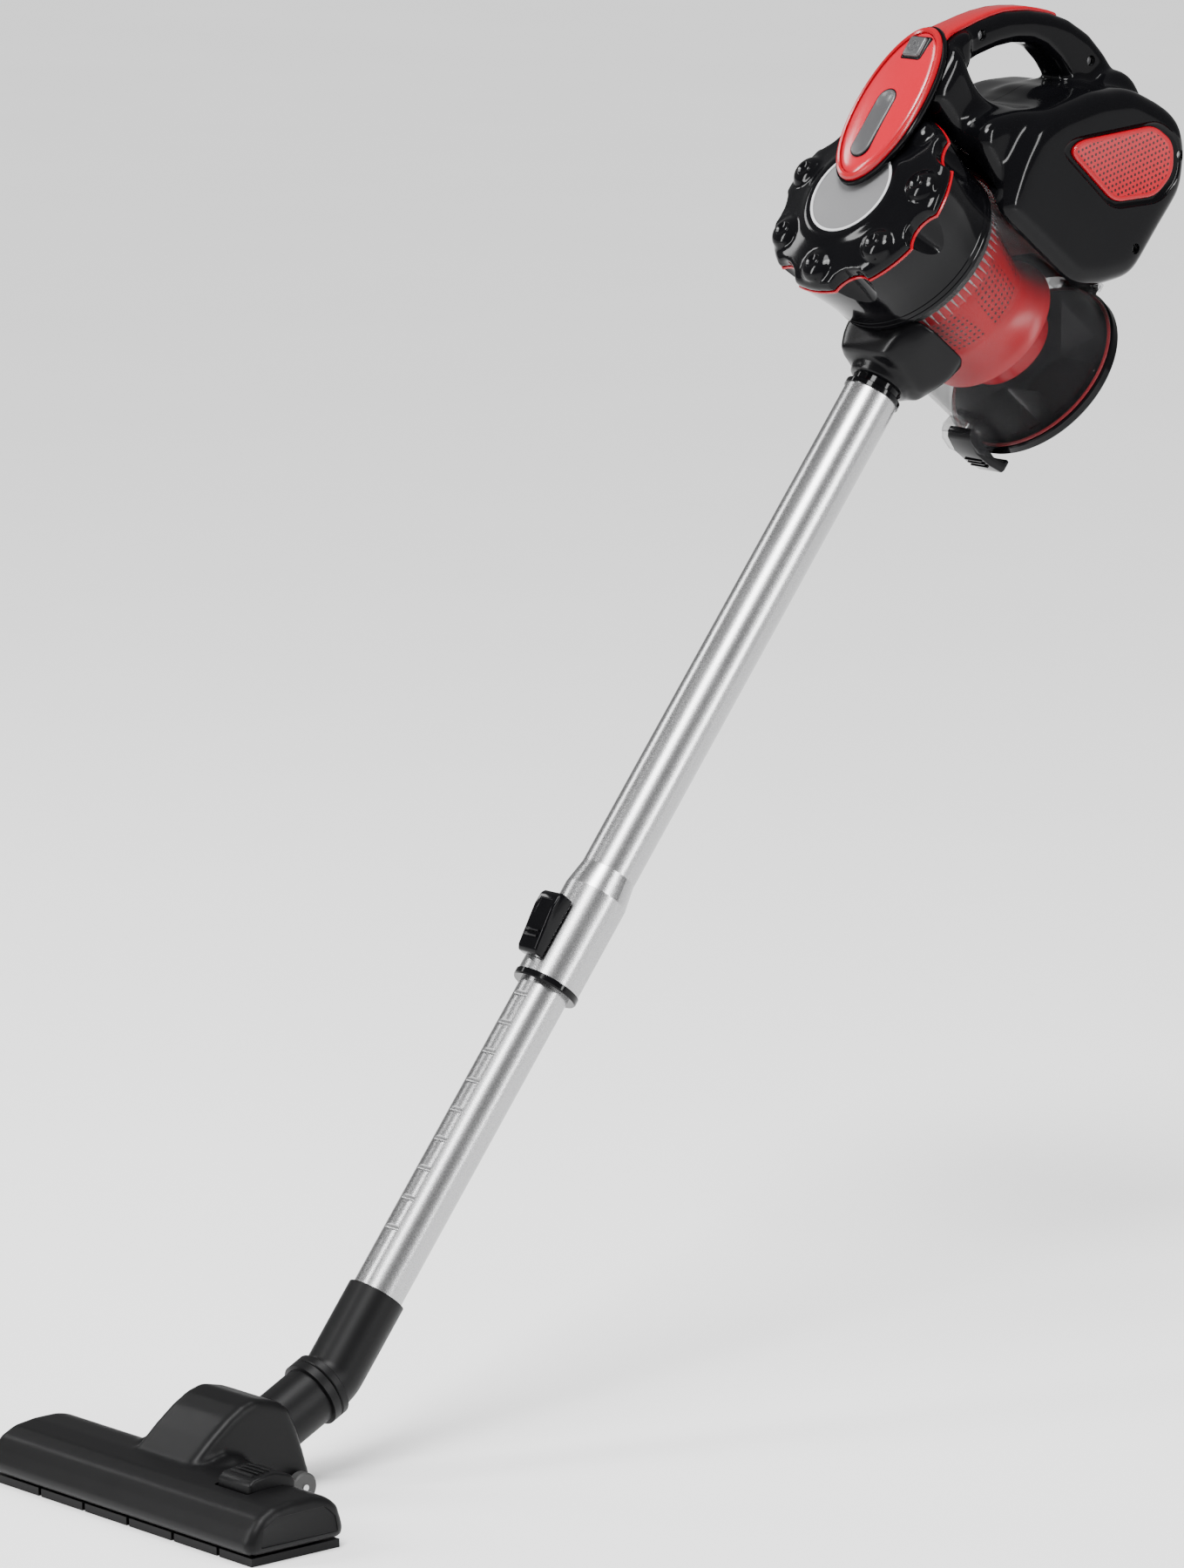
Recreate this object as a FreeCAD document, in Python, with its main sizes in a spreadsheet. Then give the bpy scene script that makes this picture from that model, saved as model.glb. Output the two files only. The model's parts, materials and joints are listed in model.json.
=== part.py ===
import FreeCAD, Part
import math
import os

import Sketcher

# A corded stick vacuum cleaner that comes apart into a hand-held cleaner, a telescopic
# wand and a floor head.  The origin lies on the floor under the head's sole, +X is the
# user's left, +Y runs back towards the user and +Z is up.  Sizes are millimetres.

DIMENSIONS = {
    "lean_angle": 51.56,        # wand above the floor, degrees
    "neck_angle": 26,           # neck barrel above the floor, degrees
    "rim_back": 156.9,          # centre of the elbow's rim behind the origin
    "rim_up": 104.7,            # and above the floor
    "lower_seen": 217.1,        # lower tube showing between elbow and lock collar
    "upper_seen": 424.6,        # upper tube from its mouth to the plug sleeve
    "cup_offset": 90,           # from the wand's upper end to the cyclone's axis
    "upper_tube_r": 17.5,
    "upper_bore_r": 16.3,
    "bell_r": 20.25,
    "bell_bore_r": 18.9,
    "bell_length": 62,
    "lower_tube_r": 16,
    "lower_bore_r": 14.4,
    "lower_length": 330,
    "notch_pitch": 20.4,
    "notch_r": 2.6,
    "running_gap": 0.05,        # radial clearance of every sliding or turning fit
    "cup_r": 57.5,
    "cup_wall": 2.2,
    "cup_foot": 103,            # the cup's lower rim below the wand's axis
    "seam_up": 28,              # the seam between clear cup and black body
    "trim_up": 78,              # the coloured line between body and cap
    "cap_top": 94.3,
    "cap_core_r": 57,
    "lobe_r": 15,
    "lobe_ring_r": 49.5,
    "lobe_count": 7,
    "disc_r": 30.2,
    "door_r": 61,
    "door_thick": 7.6,
    "cone_top_r": 50,
    "cone_waist_r": 36,
    "skirt_r": 46,
    "cone_wall": 1.6,
    "saddle_r": 60,             # hollow in the motor housing that the cup sits in
    "housing_half": 56,
    "housing_wall": 2.6,
    "handle_half": 13,
    "root_half": 27,
    "plate_centre": 59.5,       # the oval's centre behind the cyclone's axis
    "plate_long_r": 56.5,
    "plate_short_r": 27.5,
    "plate_base": 100.2,
    "motor_back": 108,
    "motor_up": -40,
    "impeller_r": 36,
    "stator_r": 28,
    "shaft_r": 4,
    "elbow_r": 18.2,
    "socket_depth": 30.3,
    "neck_r": 18.6,
    "ring_r": 21,
    "pivot_back": 62,           # from the swivel ring down the neck to the tilt axis
    "drum_r": 18,
    "drum_half": 22.5,
    "head_half": 125,
    "head_wall": 2.4,
    "hood_half": 28,
    "sole_half": 121,
    "sole_front": -37,
    "sole_rear": 28,
    "sole_thick": 5,
    "tooth_pitch": 42,
    "tooth_gap": 2.6,
    "wheel_r": 9,
    "wheel_wide": 7,
    "wheel_back": 72,
    "axle_r": 2,
}

doc = FreeCAD.newDocument("StickVacuum")
sheet = doc.addObject("Spreadsheet::Sheet", "Dims")
for row, (name, number) in enumerate(DIMENSIONS.items(), start=1):
    sheet.set("A%d" % row, name)
    sheet.set("B%d" % row, str(number))
    sheet.setAlias("B%d" % row, name)
doc.recompute()


class Size:
    """A length with both its number and the sheet expression that gives it."""

    def __init__(self, text, value):
        self.text = text
        self.value = value

    def _join(self, other, sign, value, swap=False):
        other_text = other.text if isinstance(other, Size) else repr(other)
        first, second = (other_text, self.text) if swap else (self.text, other_text)
        return Size("(%s %s %s)" % (first, sign, second), value)

    def __add__(self, other):
        return self._join(other, "+", self.value + number_of(other))

    def __radd__(self, other):
        return self._join(other, "+", number_of(other) + self.value, True)

    def __sub__(self, other):
        return self._join(other, "-", self.value - number_of(other))

    def __rsub__(self, other):
        return self._join(other, "-", number_of(other) - self.value, True)

    def __mul__(self, other):
        return self._join(other, "*", self.value * number_of(other))

    def __rmul__(self, other):
        return self._join(other, "*", number_of(other) * self.value, True)

    def __neg__(self):
        return Size("(0 - %s)" % self.text, -self.value)


class Sheet:
    """Gives every alias of the sheet as an attribute."""

    def __getattr__(self, name):
        return Size("Dims." + name, DIMENSIONS[name])


def number_of(size):
    return size.value if isinstance(size, Size) else size


D = Sheet()
V = FreeCAD.Vector
X_AXIS = V(1, 0, 0)
Y_AXIS = V(0, 1, 0)
Z_AXIS = V(0, 0, 1)
node_list = []


def node(thing, label):
    """Names a finished sub-part and puts it on the list of files to write."""
    thing.Label = label
    node_list.append(thing)
    return thing


def bind(thing, prop, size):
    if isinstance(size, Size):
        thing.setExpression(prop, size.text)
    else:
        setattr(thing, prop, size)


# ---- frames ---------------------------------------------------------------------
# wand frame: Z up the wand, -Y its upper side, origin at the silver tube's upper end
# hand frame: Z up the cyclone's axis, Y along the wand, origin on the wand's axis
# elbow frame: as the wand frame, origin at the elbow's rim
# neck frame: Z up the neck barrel, origin at the swivel ring

wand_turn = FreeCAD.Rotation(X_AXIS, DIMENSIONS["lean_angle"] - 90)
hand_turn = FreeCAD.Rotation(X_AXIS, DIMENSIONS["lean_angle"])
neck_turn = FreeCAD.Rotation(X_AXIS, DIMENSIONS["neck_angle"] - 90)
elbow_rim = V(0, DIMENSIONS["rim_back"], DIMENSIONS["rim_up"])
wand_way = wand_turn.multVec(Z_AXIS)
neck_way = neck_turn.multVec(Z_AXIS)
wand_end = elbow_rim + wand_way * (DIMENSIONS["lower_seen"] + DIMENSIONS["upper_seen"])

WORLD = FreeCAD.Placement()
ELBOW = FreeCAD.Placement(elbow_rim, wand_turn)
WAND = FreeCAD.Placement(wand_end, wand_turn)
HAND = FreeCAD.Placement(wand_end + wand_way * DIMENSIONS["cup_offset"], hand_turn)

BEND_DOWN = 56.9                # elbow rim to the corner of the elbow
BEND_TO_RING = 11.7             # that corner to the swivel ring
ring_centre = elbow_rim - wand_way * BEND_DOWN - neck_way * BEND_TO_RING
NECK = FreeCAD.Placement(ring_centre, neck_turn)
pivot = ring_centre - neck_way * DIMENSIONS["pivot_back"]


# ---- sketches and features ---------------------------------------------------------

def new_body(frame=WORLD):
    body = doc.addObject("PartDesign::Body", "Body")
    body.Placement = frame
    return body


def new_sketch(body, role, offset=0):
    """A sketch on one of the body's own planes, moved along the plane's normal."""
    sketch = body.newObject("Sketcher::SketchObject", "Sketch")
    plane = [item for item in body.Origin.OriginFeatures if item.Role == role][0]
    sketch.AttachmentSupport = [(plane, "")]
    sketch.MapMode = "FlatFace"
    if isinstance(offset, Size):
        sketch.setExpression("AttachmentOffset.Base.z", offset.text)
    else:
        sketch.AttachmentOffset = FreeCAD.Placement(V(0, 0, offset), FreeCAD.Rotation())
    return sketch


def pin_point(sketch, index, place, point):
    """Fixes one vertex by its two coordinates, each bound to the sheet if it can be."""
    for kind, size in zip(("DistanceX", "DistanceY"), point):
        fixed = sketch.addConstraint(
            Sketcher.Constraint(kind, -1, 1, index, place, float(number_of(size))))
        if isinstance(size, Size):
            sketch.setExpression("Constraints[%d]" % fixed, size.text)


def outline(sketch, points):
    """A closed outline of straight edges."""
    count = len(points)
    flat = [V(number_of(x), number_of(y), 0) for x, y in points]
    for i in range(count):
        sketch.addGeometry(Part.LineSegment(flat[i], flat[(i + 1) % count]))
    for i in range(count):
        sketch.addConstraint(Sketcher.Constraint("Coincident", i, 2, (i + 1) % count, 1))
    for i in range(count):
        pin_point(sketch, i, 1, points[i])
    return sketch


def circle(sketch, radius, centre=(0, 0)):
    middle = V(number_of(centre[0]), number_of(centre[1]), 0)
    index = sketch.addGeometry(Part.Circle(middle, Z_AXIS, number_of(radius)))
    pin_point(sketch, index, 3, centre)
    fixed = sketch.addConstraint(Sketcher.Constraint("Radius", index, number_of(radius)))
    if isinstance(radius, Size):
        sketch.setExpression("Constraints[%d]" % fixed, radius.text)
    return sketch


def box_points(low, high):
    return [low, (high[0], low[1]), high, (low[0], high[1])]


def extrude(body, kind, sketch, length, both=False, back=False):
    feature = body.newObject("PartDesign::" + kind, kind)
    feature.Profile = sketch
    if both:
        feature.SideType = "Symmetric"
    feature.Reversed = back
    bind(feature, "Length", length)
    return feature


def turn(body, points, kind="Revolution"):
    """Turns a profile of (radius, height) points about the body's own Z axis."""
    sketch = outline(new_sketch(body, "XZ_Plane"), points)
    feature = body.newObject("PartDesign::" + kind, kind)
    feature.Profile = sketch
    feature.ReferenceAxis = (sketch, ["V_Axis"])
    feature.Angle = 360
    return feature


def turned(label, frame, points):
    body = node(new_body(frame), label)
    turn(body, points)
    return body


def slab(frame, points, length, role="YZ_Plane", both=True, offset=0):
    """A body extruded from one outline: across X from the side view by default."""
    body = new_body(frame)
    extrude(body, "Pad", outline(new_sketch(body, role, offset), points), length, both)
    return body


def cylinder(frame, radius, length, place, axis=Z_AXIS):
    """A plain cylinder at a place of a frame, along an axis of that frame."""
    rod = doc.addObject("Part::Cylinder", "Rod")
    bind(rod, "Radius", radius)
    bind(rod, "Height", length)
    rod.Placement = frame * FreeCAD.Placement(V(*place), FreeCAD.Rotation(Z_AXIS, axis))
    return rod


def block(frame, low, high):
    """A plain box between two corners of a frame."""
    solid = doc.addObject("Part::Box", "Block")
    solid.Length = high[0] - low[0]
    solid.Width = high[1] - low[1]
    solid.Height = high[2] - low[2]
    solid.Placement = frame * FreeCAD.Placement(V(*low), FreeCAD.Rotation())
    return solid


def oval(frame, long_r, short_r, base, height):
    """An oval plate on the handle's top, its long axis along the wand."""
    edge = doc.addObject("Part::Ellipse", "Oval")
    bind(edge, "MajorRadius", long_r)
    bind(edge, "MinorRadius", short_r)
    place = V(0, DIMENSIONS["plate_centre"], number_of(base))
    edge.Placement = frame * FreeCAD.Placement(place, FreeCAD.Rotation(Z_AXIS, 90))
    plate = doc.addObject("Part::Extrusion", "Plate")
    plate.Base = edge
    plate.DirMode = "Custom"
    plate.Dir = frame.Rotation.multVec(Z_AXIS)
    plate.LengthFwd = height
    plate.Solid = True
    return plate


def fuse(things):
    joined = doc.addObject("Part::MultiFuse", "Joined")
    joined.Shapes = things
    return joined


def cut(base, tools):
    """Takes one or more tools away from a base."""
    taken = doc.addObject("Part::Cut", "Cut")
    taken.Base = base
    taken.Tool = tools[0] if len(tools) == 1 else fuse(tools)
    return taken


def common(first, second):
    shared = doc.addObject("Part::Common", "Shared")
    shared.Base = first
    shared.Tool = second
    return shared


def group(things, label):
    """Like pieces, each its own solid, kept as one node."""
    bunch = doc.addObject("Part::Compound", "Group")
    bunch.Links = things
    return node(bunch, label)


# ---- floor head ---------------------------------------------------------------------
# A thin moulded shell: a low bar the width of the head with a raised hood behind it
# that carries the neck barrel.  It is open underneath, and open at the hood's rear.

bar_side = [(-41, 6), (-41, 14), (-33, 27), (-22, 32.5), (0, 34.5), (17, 34), (26, 27), (31, 6)]
bar_inside = [(-38.6, 5), (-38.6, 13.5), (-31.4, 25.2), (-21.5, 30.1), (0, 32.1),
              (16, 31.6), (23.8, 25.8), (28.6, 5)]
hood_side = [(-12, 30), (10, 48), (30, 62), (42, 65.9), (67, 58.6), (79, 30), (84, 14),
             (84, 6), (-12, 6)]
hood_inside = [(-9, 5), (-9, 28.5), (11, 45.6), (31, 59.6), (42, 63.4), (60, 58.5),
               (92, 63), (92, 5)]
PEDAL_LOW = 62                  # the pedal's two sides, along X
PEDAL_HIGH = 92
WHEEL_UP = 9.2                  # the wheel axle above the floor

head_outside = fuse([
    slab(WORLD, bar_side, 2 * D.head_half),
    slab(WORLD, hood_side, 2 * D.hood_half),
])
head_hollow = [
    slab(WORLD, bar_inside, 2 * (D.head_half - D.head_wall)),
    slab(WORLD, hood_inside, 2 * (D.hood_half - D.head_wall)),
    block(WORLD, (PEDAL_LOW - 0.8, -17, 20), (PEDAL_HIGH + 0.8, 21.5, 50)),
    cylinder(WORLD, D.axle_r + D.running_gap, 2 * D.hood_half + 8,
             (-DIMENSIONS["hood_half"] - 4, DIMENSIONS["wheel_back"], WHEEL_UP), X_AXIS),
]
node(cut(head_outside, head_hollow), "head_shell")

# The sole: a flat plate whose front edge is cut into six teeth that let crumbs through,
# with a slot for the air, two slots for the brush strips and a tongue under the hood.
SLOT_FRONT = -21
SLOT_REAR = -9
BRUSH_ROWS = (-30.5, 14)        # front edges of the two brush slots
BRUSH_WIDE = 5
sole_solid = fuse([
    slab(WORLD, box_points((-D.sole_half, D.sole_front), (D.sole_half, D.sole_rear)),
         D.sole_thick, "XY_Plane", False),
    block(WORLD, (-25, 26, 3), (25, 82, 5)),
])
sole_holes = [block(WORLD, (-104, SLOT_FRONT, -1), (104, SLOT_REAR, 6))]
for row_front in BRUSH_ROWS:
    sole_holes.append(block(WORLD, (-114, row_front, -1), (114, row_front + BRUSH_WIDE, 6)))
for step in range(-2, 3):
    gap_x = 6 + step * DIMENSIONS["tooth_pitch"]
    half_gap = DIMENSIONS["tooth_gap"] / 2
    sole_holes.append(block(WORLD, (gap_x - half_gap, -40, -1), (gap_x + half_gap, -34, 6)))
node(cut(sole_solid, sole_holes), "sole_plate")

# Two rows of bristles on one frame that drops through the sole for hard floors.
brush_pieces = []
for row_front in BRUSH_ROWS:
    brush_pieces.append(block(WORLD, (-113, row_front + 0.6, 0.8),
                              (113, row_front + BRUSH_WIDE - 0.6, 13)))
for bar_x in (-60, 40):
    brush_pieces.append(block(WORLD, (bar_x, -28, 10), (bar_x + 8, 17, 13)))
node(fuse(brush_pieces), "brush_frame")

# The foot pedal that drops the brushes, rocking on a pin moulded across it.
PEDAL_PIN = (6, 27.5)
pedal_side = [(-15, 31), (-13.5, 40), (4, 42.5), (19.5, 37.5), (19.5, 30), (10, 24.5), (2, 24.5)]
pedal_solid = slab(WORLD, pedal_side, PEDAL_HIGH - PEDAL_LOW, "YZ_Plane", False, PEDAL_LOW)
pedal_pin = cylinder(WORLD, 1.5, 36, (PEDAL_LOW - 3, PEDAL_PIN[0], PEDAL_PIN[1]), X_AXIS)
node(fuse([pedal_solid, pedal_pin]), "mode_pedal")

# Two rear wheels with rubber tyres on one steel axle through the hood's cheeks.
node(cylinder(WORLD, D.axle_r, 74, (-37, DIMENSIONS["wheel_back"], WHEEL_UP), X_AXIS),
     "wheel_axle")
for side_name, wheel_x in (("right", -36.2), ("left", 29.2)):
    place = V(wheel_x, DIMENSIONS["wheel_back"], WHEEL_UP)
    wheel_frame = FreeCAD.Placement(place, FreeCAD.Rotation(Z_AXIS, X_AXIS))
    turned("wheel_" + side_name, wheel_frame, [
        (D.axle_r + D.running_gap, 0), (D.wheel_r - 1, 0), (D.wheel_r, 1),
        (D.wheel_r, D.wheel_wide - 1), (D.wheel_r - 1, D.wheel_wide),
        (D.axle_r + D.running_gap, D.wheel_wide)])

# ---- neck and elbow -----------------------------------------------------------------
# The neck barrel ends in a hollow drum that tilts inside the hood.

neck = new_body(NECK)
turn(neck, [(D.neck_r - 4, -D.pivot_back), (D.neck_r, -D.pivot_back), (D.neck_r, -6.8),
            (D.ring_r, -6.2), (D.ring_r, -0.8), (D.ring_r - 0.6, -0.15),
            (16.6, -0.15), (16.6, -22), (D.neck_r - 4, -23)])
drum_place = FreeCAD.Placement(pivot, neck_turn)
drum_left = (-DIMENSIONS["drum_half"], 0, 0)
drum = cylinder(drum_place, D.drum_r, 2 * D.drum_half, drum_left, X_AXIS)
drum_bore = cylinder(drum_place, D.drum_r - 3, 2 * D.drum_half - 5,
                     (drum_left[0] + 2.5, 0, 0), X_AXIS)
drum_mouth = block(FreeCAD.Placement(pivot, FreeCAD.Rotation()), (-14, -12, -30), (14, 12, 0))
neck_air = cylinder(NECK, D.neck_r - 4, D.pivot_back, (0, 0, -DIMENSIONS["pivot_back"]))
node(cut(fuse([neck, drum]), [drum_bore, drum_mouth, neck_air]), "neck_barrel")

# The swivel ring: a flange fixed to the elbow, with a sleeve that turns in the neck.
turned("swivel_ring", NECK, [
    (D.neck_r - 4, -20), (16.55, -20), (16.55, 0.15), (D.ring_r - 0.6, 0.15),
    (D.ring_r, 0.8), (D.ring_r, 5), (D.ring_r - 0.8, 5.6), (D.neck_r - 4, 5.6)])

# The elbow: a socket for the lower tube, bent where it meets the swivel ring.
BEND_ANGLE = DIMENSIONS["lean_angle"] - DIMENSIONS["neck_angle"]
BEND_R = 24.0
down_neck = FreeCAD.Rotation(X_AXIS, -BEND_ANGLE).multVec(V(0, 0, -1))
bend_corner = V(0, 0, -BEND_DOWN)
bend_reach = BEND_R * math.tan(math.radians(BEND_ANGLE / 2))


def elbow_pipe(radius):
    """A round pipe along the elbow's centre line, from the rim to the swivel ring."""
    body = new_body(ELBOW)
    path = new_sketch(body, "YZ_Plane")
    top = V(0, 0, 0)
    start = V(0, -BEND_DOWN + bend_reach, 0)
    leave = bend_corner + down_neck * bend_reach
    last = bend_corner + down_neck * (BEND_TO_RING - 5.6)
    middle = V(-BEND_R, start.y, 0)
    path.addGeometry(Part.LineSegment(top, start))
    arc_circle = Part.Circle(middle, Z_AXIS, BEND_R)
    path.addGeometry(Part.ArcOfCircle(arc_circle, -math.radians(BEND_ANGLE), 0))
    path.addGeometry(Part.LineSegment(V(leave.y, leave.z, 0), V(last.y, last.z, 0)))
    path.addConstraint(Sketcher.Constraint("Coincident", 0, 2, 1, 2))
    path.addConstraint(Sketcher.Constraint("Coincident", 1, 1, 2, 1))
    path.addConstraint(Sketcher.Constraint("Block", 0))
    ring = circle(new_sketch(body, "XY_Plane"), radius)
    doc.recompute()
    pipe = body.newObject("PartDesign::AdditivePipe", "Pipe")
    pipe.Profile = ring
    pipe.Spine = (path, ["Edge1", "Edge2", "Edge3"])
    return body


socket = cylinder(ELBOW, D.lower_tube_r + D.running_gap, D.socket_depth + 1,
                  (0, 0, -DIMENSIONS["socket_depth"]))
node(cut(elbow_pipe(D.elbow_r), [elbow_pipe(D.lower_bore_r), socket]), "elbow")

# ---- telescopic wand -------------------------------------------------------------------
# Lower tube: pressed steel with a row of dents on its upper side for the lock pawl.

PAWL_UP = -399.0                # the pawl's height in the wand frame
NOTCH_COUNT = 11
tube_low = -DIMENSIONS["upper_seen"] - DIMENSIONS["lower_seen"] - 30
lower_tube = new_body(WAND)
turn(lower_tube, [(D.lower_bore_r, tube_low), (D.lower_tube_r, tube_low),
                  (D.lower_tube_r, tube_low + D.lower_length),
                  (D.lower_bore_r, tube_low + D.lower_length)])
notch_cuts = []
for step in range(NOTCH_COUNT):
    notch_up = PAWL_UP - step * DIMENSIONS["notch_pitch"]
    notch_cuts.append(cylinder(WAND, D.notch_r, 26, (-13, -17.5, notch_up), X_AXIS))
node(cut(lower_tube, notch_cuts), "lower_tube")

# Upper tube: thin silver tube, swaged out to a bell at its lower end.
bell_top = -D.upper_seen + D.bell_length
bell_foot = -DIMENSIONS["upper_seen"]
upper_tube = new_body(WAND)
turn(upper_tube, [
    (D.upper_bore_r, -0.05), (D.upper_tube_r, -0.05), (D.upper_tube_r, bell_top + 16),
    (D.bell_r, bell_top), (D.bell_r, -D.upper_seen), (D.bell_bore_r, -D.upper_seen),
    (D.bell_bore_r, bell_top - 0.6), (D.upper_bore_r, bell_top + 14)])
pawl_window = block(WAND, (-5.2, -26, PAWL_UP - 5), (5.2, -14, PAWL_UP + 5))
node(cut(upper_tube, [pawl_window]), "upper_tube")

# Guide bush: plastic lining of the bell, ending in the black ring at its mouth.
bush = new_body(WAND)
turn(bush, [
    (D.lower_tube_r + D.running_gap, bell_foot - 4.4), (D.bell_r + 0.3, bell_foot - 4.4),
    (D.bell_r + 0.9, bell_foot - 3.4), (D.bell_r + 0.9, bell_foot - 0.05),
    (D.bell_bore_r - 0.05, bell_foot - 0.05), (D.bell_bore_r - 0.05, bell_top - 2),
    (D.lower_tube_r + D.running_gap, bell_top - 2)])
bush_window = block(WAND, (-5.2, -26, PAWL_UP - 5), (5.2, -14, PAWL_UP + 5))
node(cut(bush, [bush_window]), "guide_bush")

# Lock: a thumb slide over the bell, whose ramp lifts a pawl out of the tube's dent.
SLIDE_LOW = -417.0
SLIDE_HIGH = -377.0
slide_side = [(-20.6, SLIDE_LOW), (-28.5, SLIDE_LOW + 2), (-33.5, SLIDE_HIGH - 9),
              (-32, SLIDE_HIGH - 1), (-20.6, SLIDE_HIGH)]
slide_solid = slab(WAND, slide_side, 17)
slide_hollow = block(WAND, (-6, -27.2, SLIDE_LOW + 4), (6, -20, SLIDE_HIGH - 5))
node(cut(slide_solid, [slide_hollow]), "lock_slide")
node(slab(WAND, [(-16.2, PAWL_UP - 1), (-16.2, PAWL_UP + 1), (-17.5, PAWL_UP + 3.5),
                 (-24.6, PAWL_UP + 3.5), (-24.6, PAWL_UP - 3.5), (-17.5, PAWL_UP - 3.5)], 8),
     "lock_pawl")
node(cylinder(WAND, 1.8, 8.5, (0, -23.7, SLIDE_HIGH - 14)), "lock_spring")

# Plug sleeve: black plastic, pressed into the silver tube and pushed into the inlet.
turned("plug_sleeve", WAND, [
    (D.lower_bore_r - 0.4, -28), (D.upper_bore_r - 0.05, -28), (D.upper_bore_r - 0.05, 0),
    (D.upper_tube_r + 0.9, 0), (D.upper_tube_r + 0.9, 3), (D.upper_tube_r + 0.2, 3.6),
    (D.lower_tube_r, 3.6), (D.lower_tube_r, 31), (D.lower_bore_r - 0.4, 31)])

# ---- dust canister ------------------------------------------------------------------------
# The clear cup, with the inlet hole in front, a latch mount at its foot and hinge ears.

cup_inner = D.cup_r - D.cup_wall
cup = new_body(HAND)
turn(cup, [(cup_inner, -D.cup_foot), (D.cup_r + 2, -D.cup_foot),
           (D.cup_r + 2, -D.cup_foot + 4), (D.cup_r, -D.cup_foot + 8),
           (D.cup_r, D.seam_up), (cup_inner, D.seam_up)])
INLET_R = 15.5
LATCH_PIN = (-66.5, -86.0)
HINGE_PIN = (64.5, -107.0)
cup_extras = []
for side in (-1, 1):
    cup_extras.append(block(HAND, (side * 12.6 - 1.4, -70, -96), (side * 12.6 + 1.4, -54, -76)))
    cup_extras.append(block(HAND, (side * 15 - 2, 55, -103), (side * 15 + 2, 67.5, -97.5)))
    cup_extras.append(block(HAND, (side * 15 - 2, 62, -110), (side * 15 + 2, 67.5, -103)))
cup_bores = [
    cylinder(HAND, INLET_R, 20, (0, -66, 0), Y_AXIS),
    cylinder(HAND, 1.25, 30, (-15, LATCH_PIN[0], LATCH_PIN[1]), X_AXIS),
    cylinder(HAND, 1.55, 36, (-18, HINGE_PIN[0], HINGE_PIN[1]), X_AXIS),
    cylinder(HAND, cup_inner, 40, (0, 0, -104)),
]
node(cut(fuse([cup] + cup_extras), cup_bores), "dust_cup")

# Door: closes the cup's foot, with a raised inner rim, fins and a knuckle on its pin.
door_top = -D.cup_foot - 1.2
door = new_body(HAND)
turn(door, [(0, door_top - D.door_thick), (D.door_r - 2, door_top - D.door_thick),
            (D.door_r, door_top - D.door_thick + 2), (D.door_r, door_top - 0.8),
            (D.door_r - 0.8, door_top), (cup_inner - 0.6, door_top), (cup_inner - 0.6, -101),
            (cup_inner - 2.6, -101), (cup_inner - 2.6, door_top - 3), (0, door_top - 3)])
knuckle = block(HAND, (-12.5, 56, -111.5), (12.5, 66.5, -105))
door_cuts = [cylinder(HAND, 1.55, 36, (-18, HINGE_PIN[0], HINGE_PIN[1]), X_AXIS)]
for side in (-1, 1):
    door_cuts.append(block(HAND, (side * 15.1 - 2.5, 56, -115), (side * 15.1 + 2.5, 70, -100)))
node(cut(fuse([door, knuckle]), door_cuts), "cup_door")
turned("door_seal", HAND, [
    (cup_inner - 0.4, door_top + 0.05), (D.cup_r + 2.4, door_top + 0.05),
    (D.cup_r + 2.4, -D.cup_foot - 0.2), (cup_inner - 0.4, -D.cup_foot - 0.2)])
node(cylinder(HAND, 1.5, 34, (-17, HINGE_PIN[0], HINGE_PIN[1]), X_AXIS), "door_pin")

# Fins standing on the door keep the settled dust from swirling up again.
fins = []
for step in range(4):
    fin = slab(HAND, [(20, -107), (46, -107), (46, -70)], 2.2)
    fin.Placement = HAND * FreeCAD.Placement(V(0, 0, 0), FreeCAD.Rotation(Z_AXIS, 40 + 90 * step))
    fins.append(fin)
group(fins, "dust_fins")

# Latch: a sprung lever on the cup's front whose hook holds the door's edge.
latch_side = [(-62.2, -77), (-69, -78), (-73, -90), (-71, -117), (-61.4, -117), (-61.4, -114),
              (-64, -112.8), (-66.3, -104), (-64.2, -92)]
latch_solid = slab(HAND, latch_side, 21)
latch_pin = cylinder(HAND, 1.2, 28, (-14, LATCH_PIN[0], LATCH_PIN[1]), X_AXIS)
node(fuse([latch_solid, latch_pin]), "door_latch")
node(cylinder(HAND, 1.6, 3.6, (0, -61.8, -80), Y_AXIS), "latch_spring")

# Black body above the seam, its cap with seven round lobes and the line between them.
body_inner = D.cup_r - 3.5
canister = new_body(HAND)
turn(canister, [
    (body_inner, D.seam_up + 0.1), (D.cup_r + 1.1, D.seam_up + 0.1), (D.cup_r + 1.1, 40),
    (D.cup_r + 3, 60), (D.cup_r + 4.2, D.trim_up), (body_inner, D.trim_up)])
PORT_UP = 52.0
air_port = cylinder(HAND, 13, 20, (0, 50, PORT_UP), Y_AXIS)
node(cut(canister, [air_port]), "canister_body")
turned("cap_trim", HAND, [
    (body_inner, D.trim_up + 0.05), (D.cup_r + 4.8, D.trim_up + 0.05),
    (D.cup_r + 4.8, D.trim_up + 1.5), (body_inner, D.trim_up + 1.5)])

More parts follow.
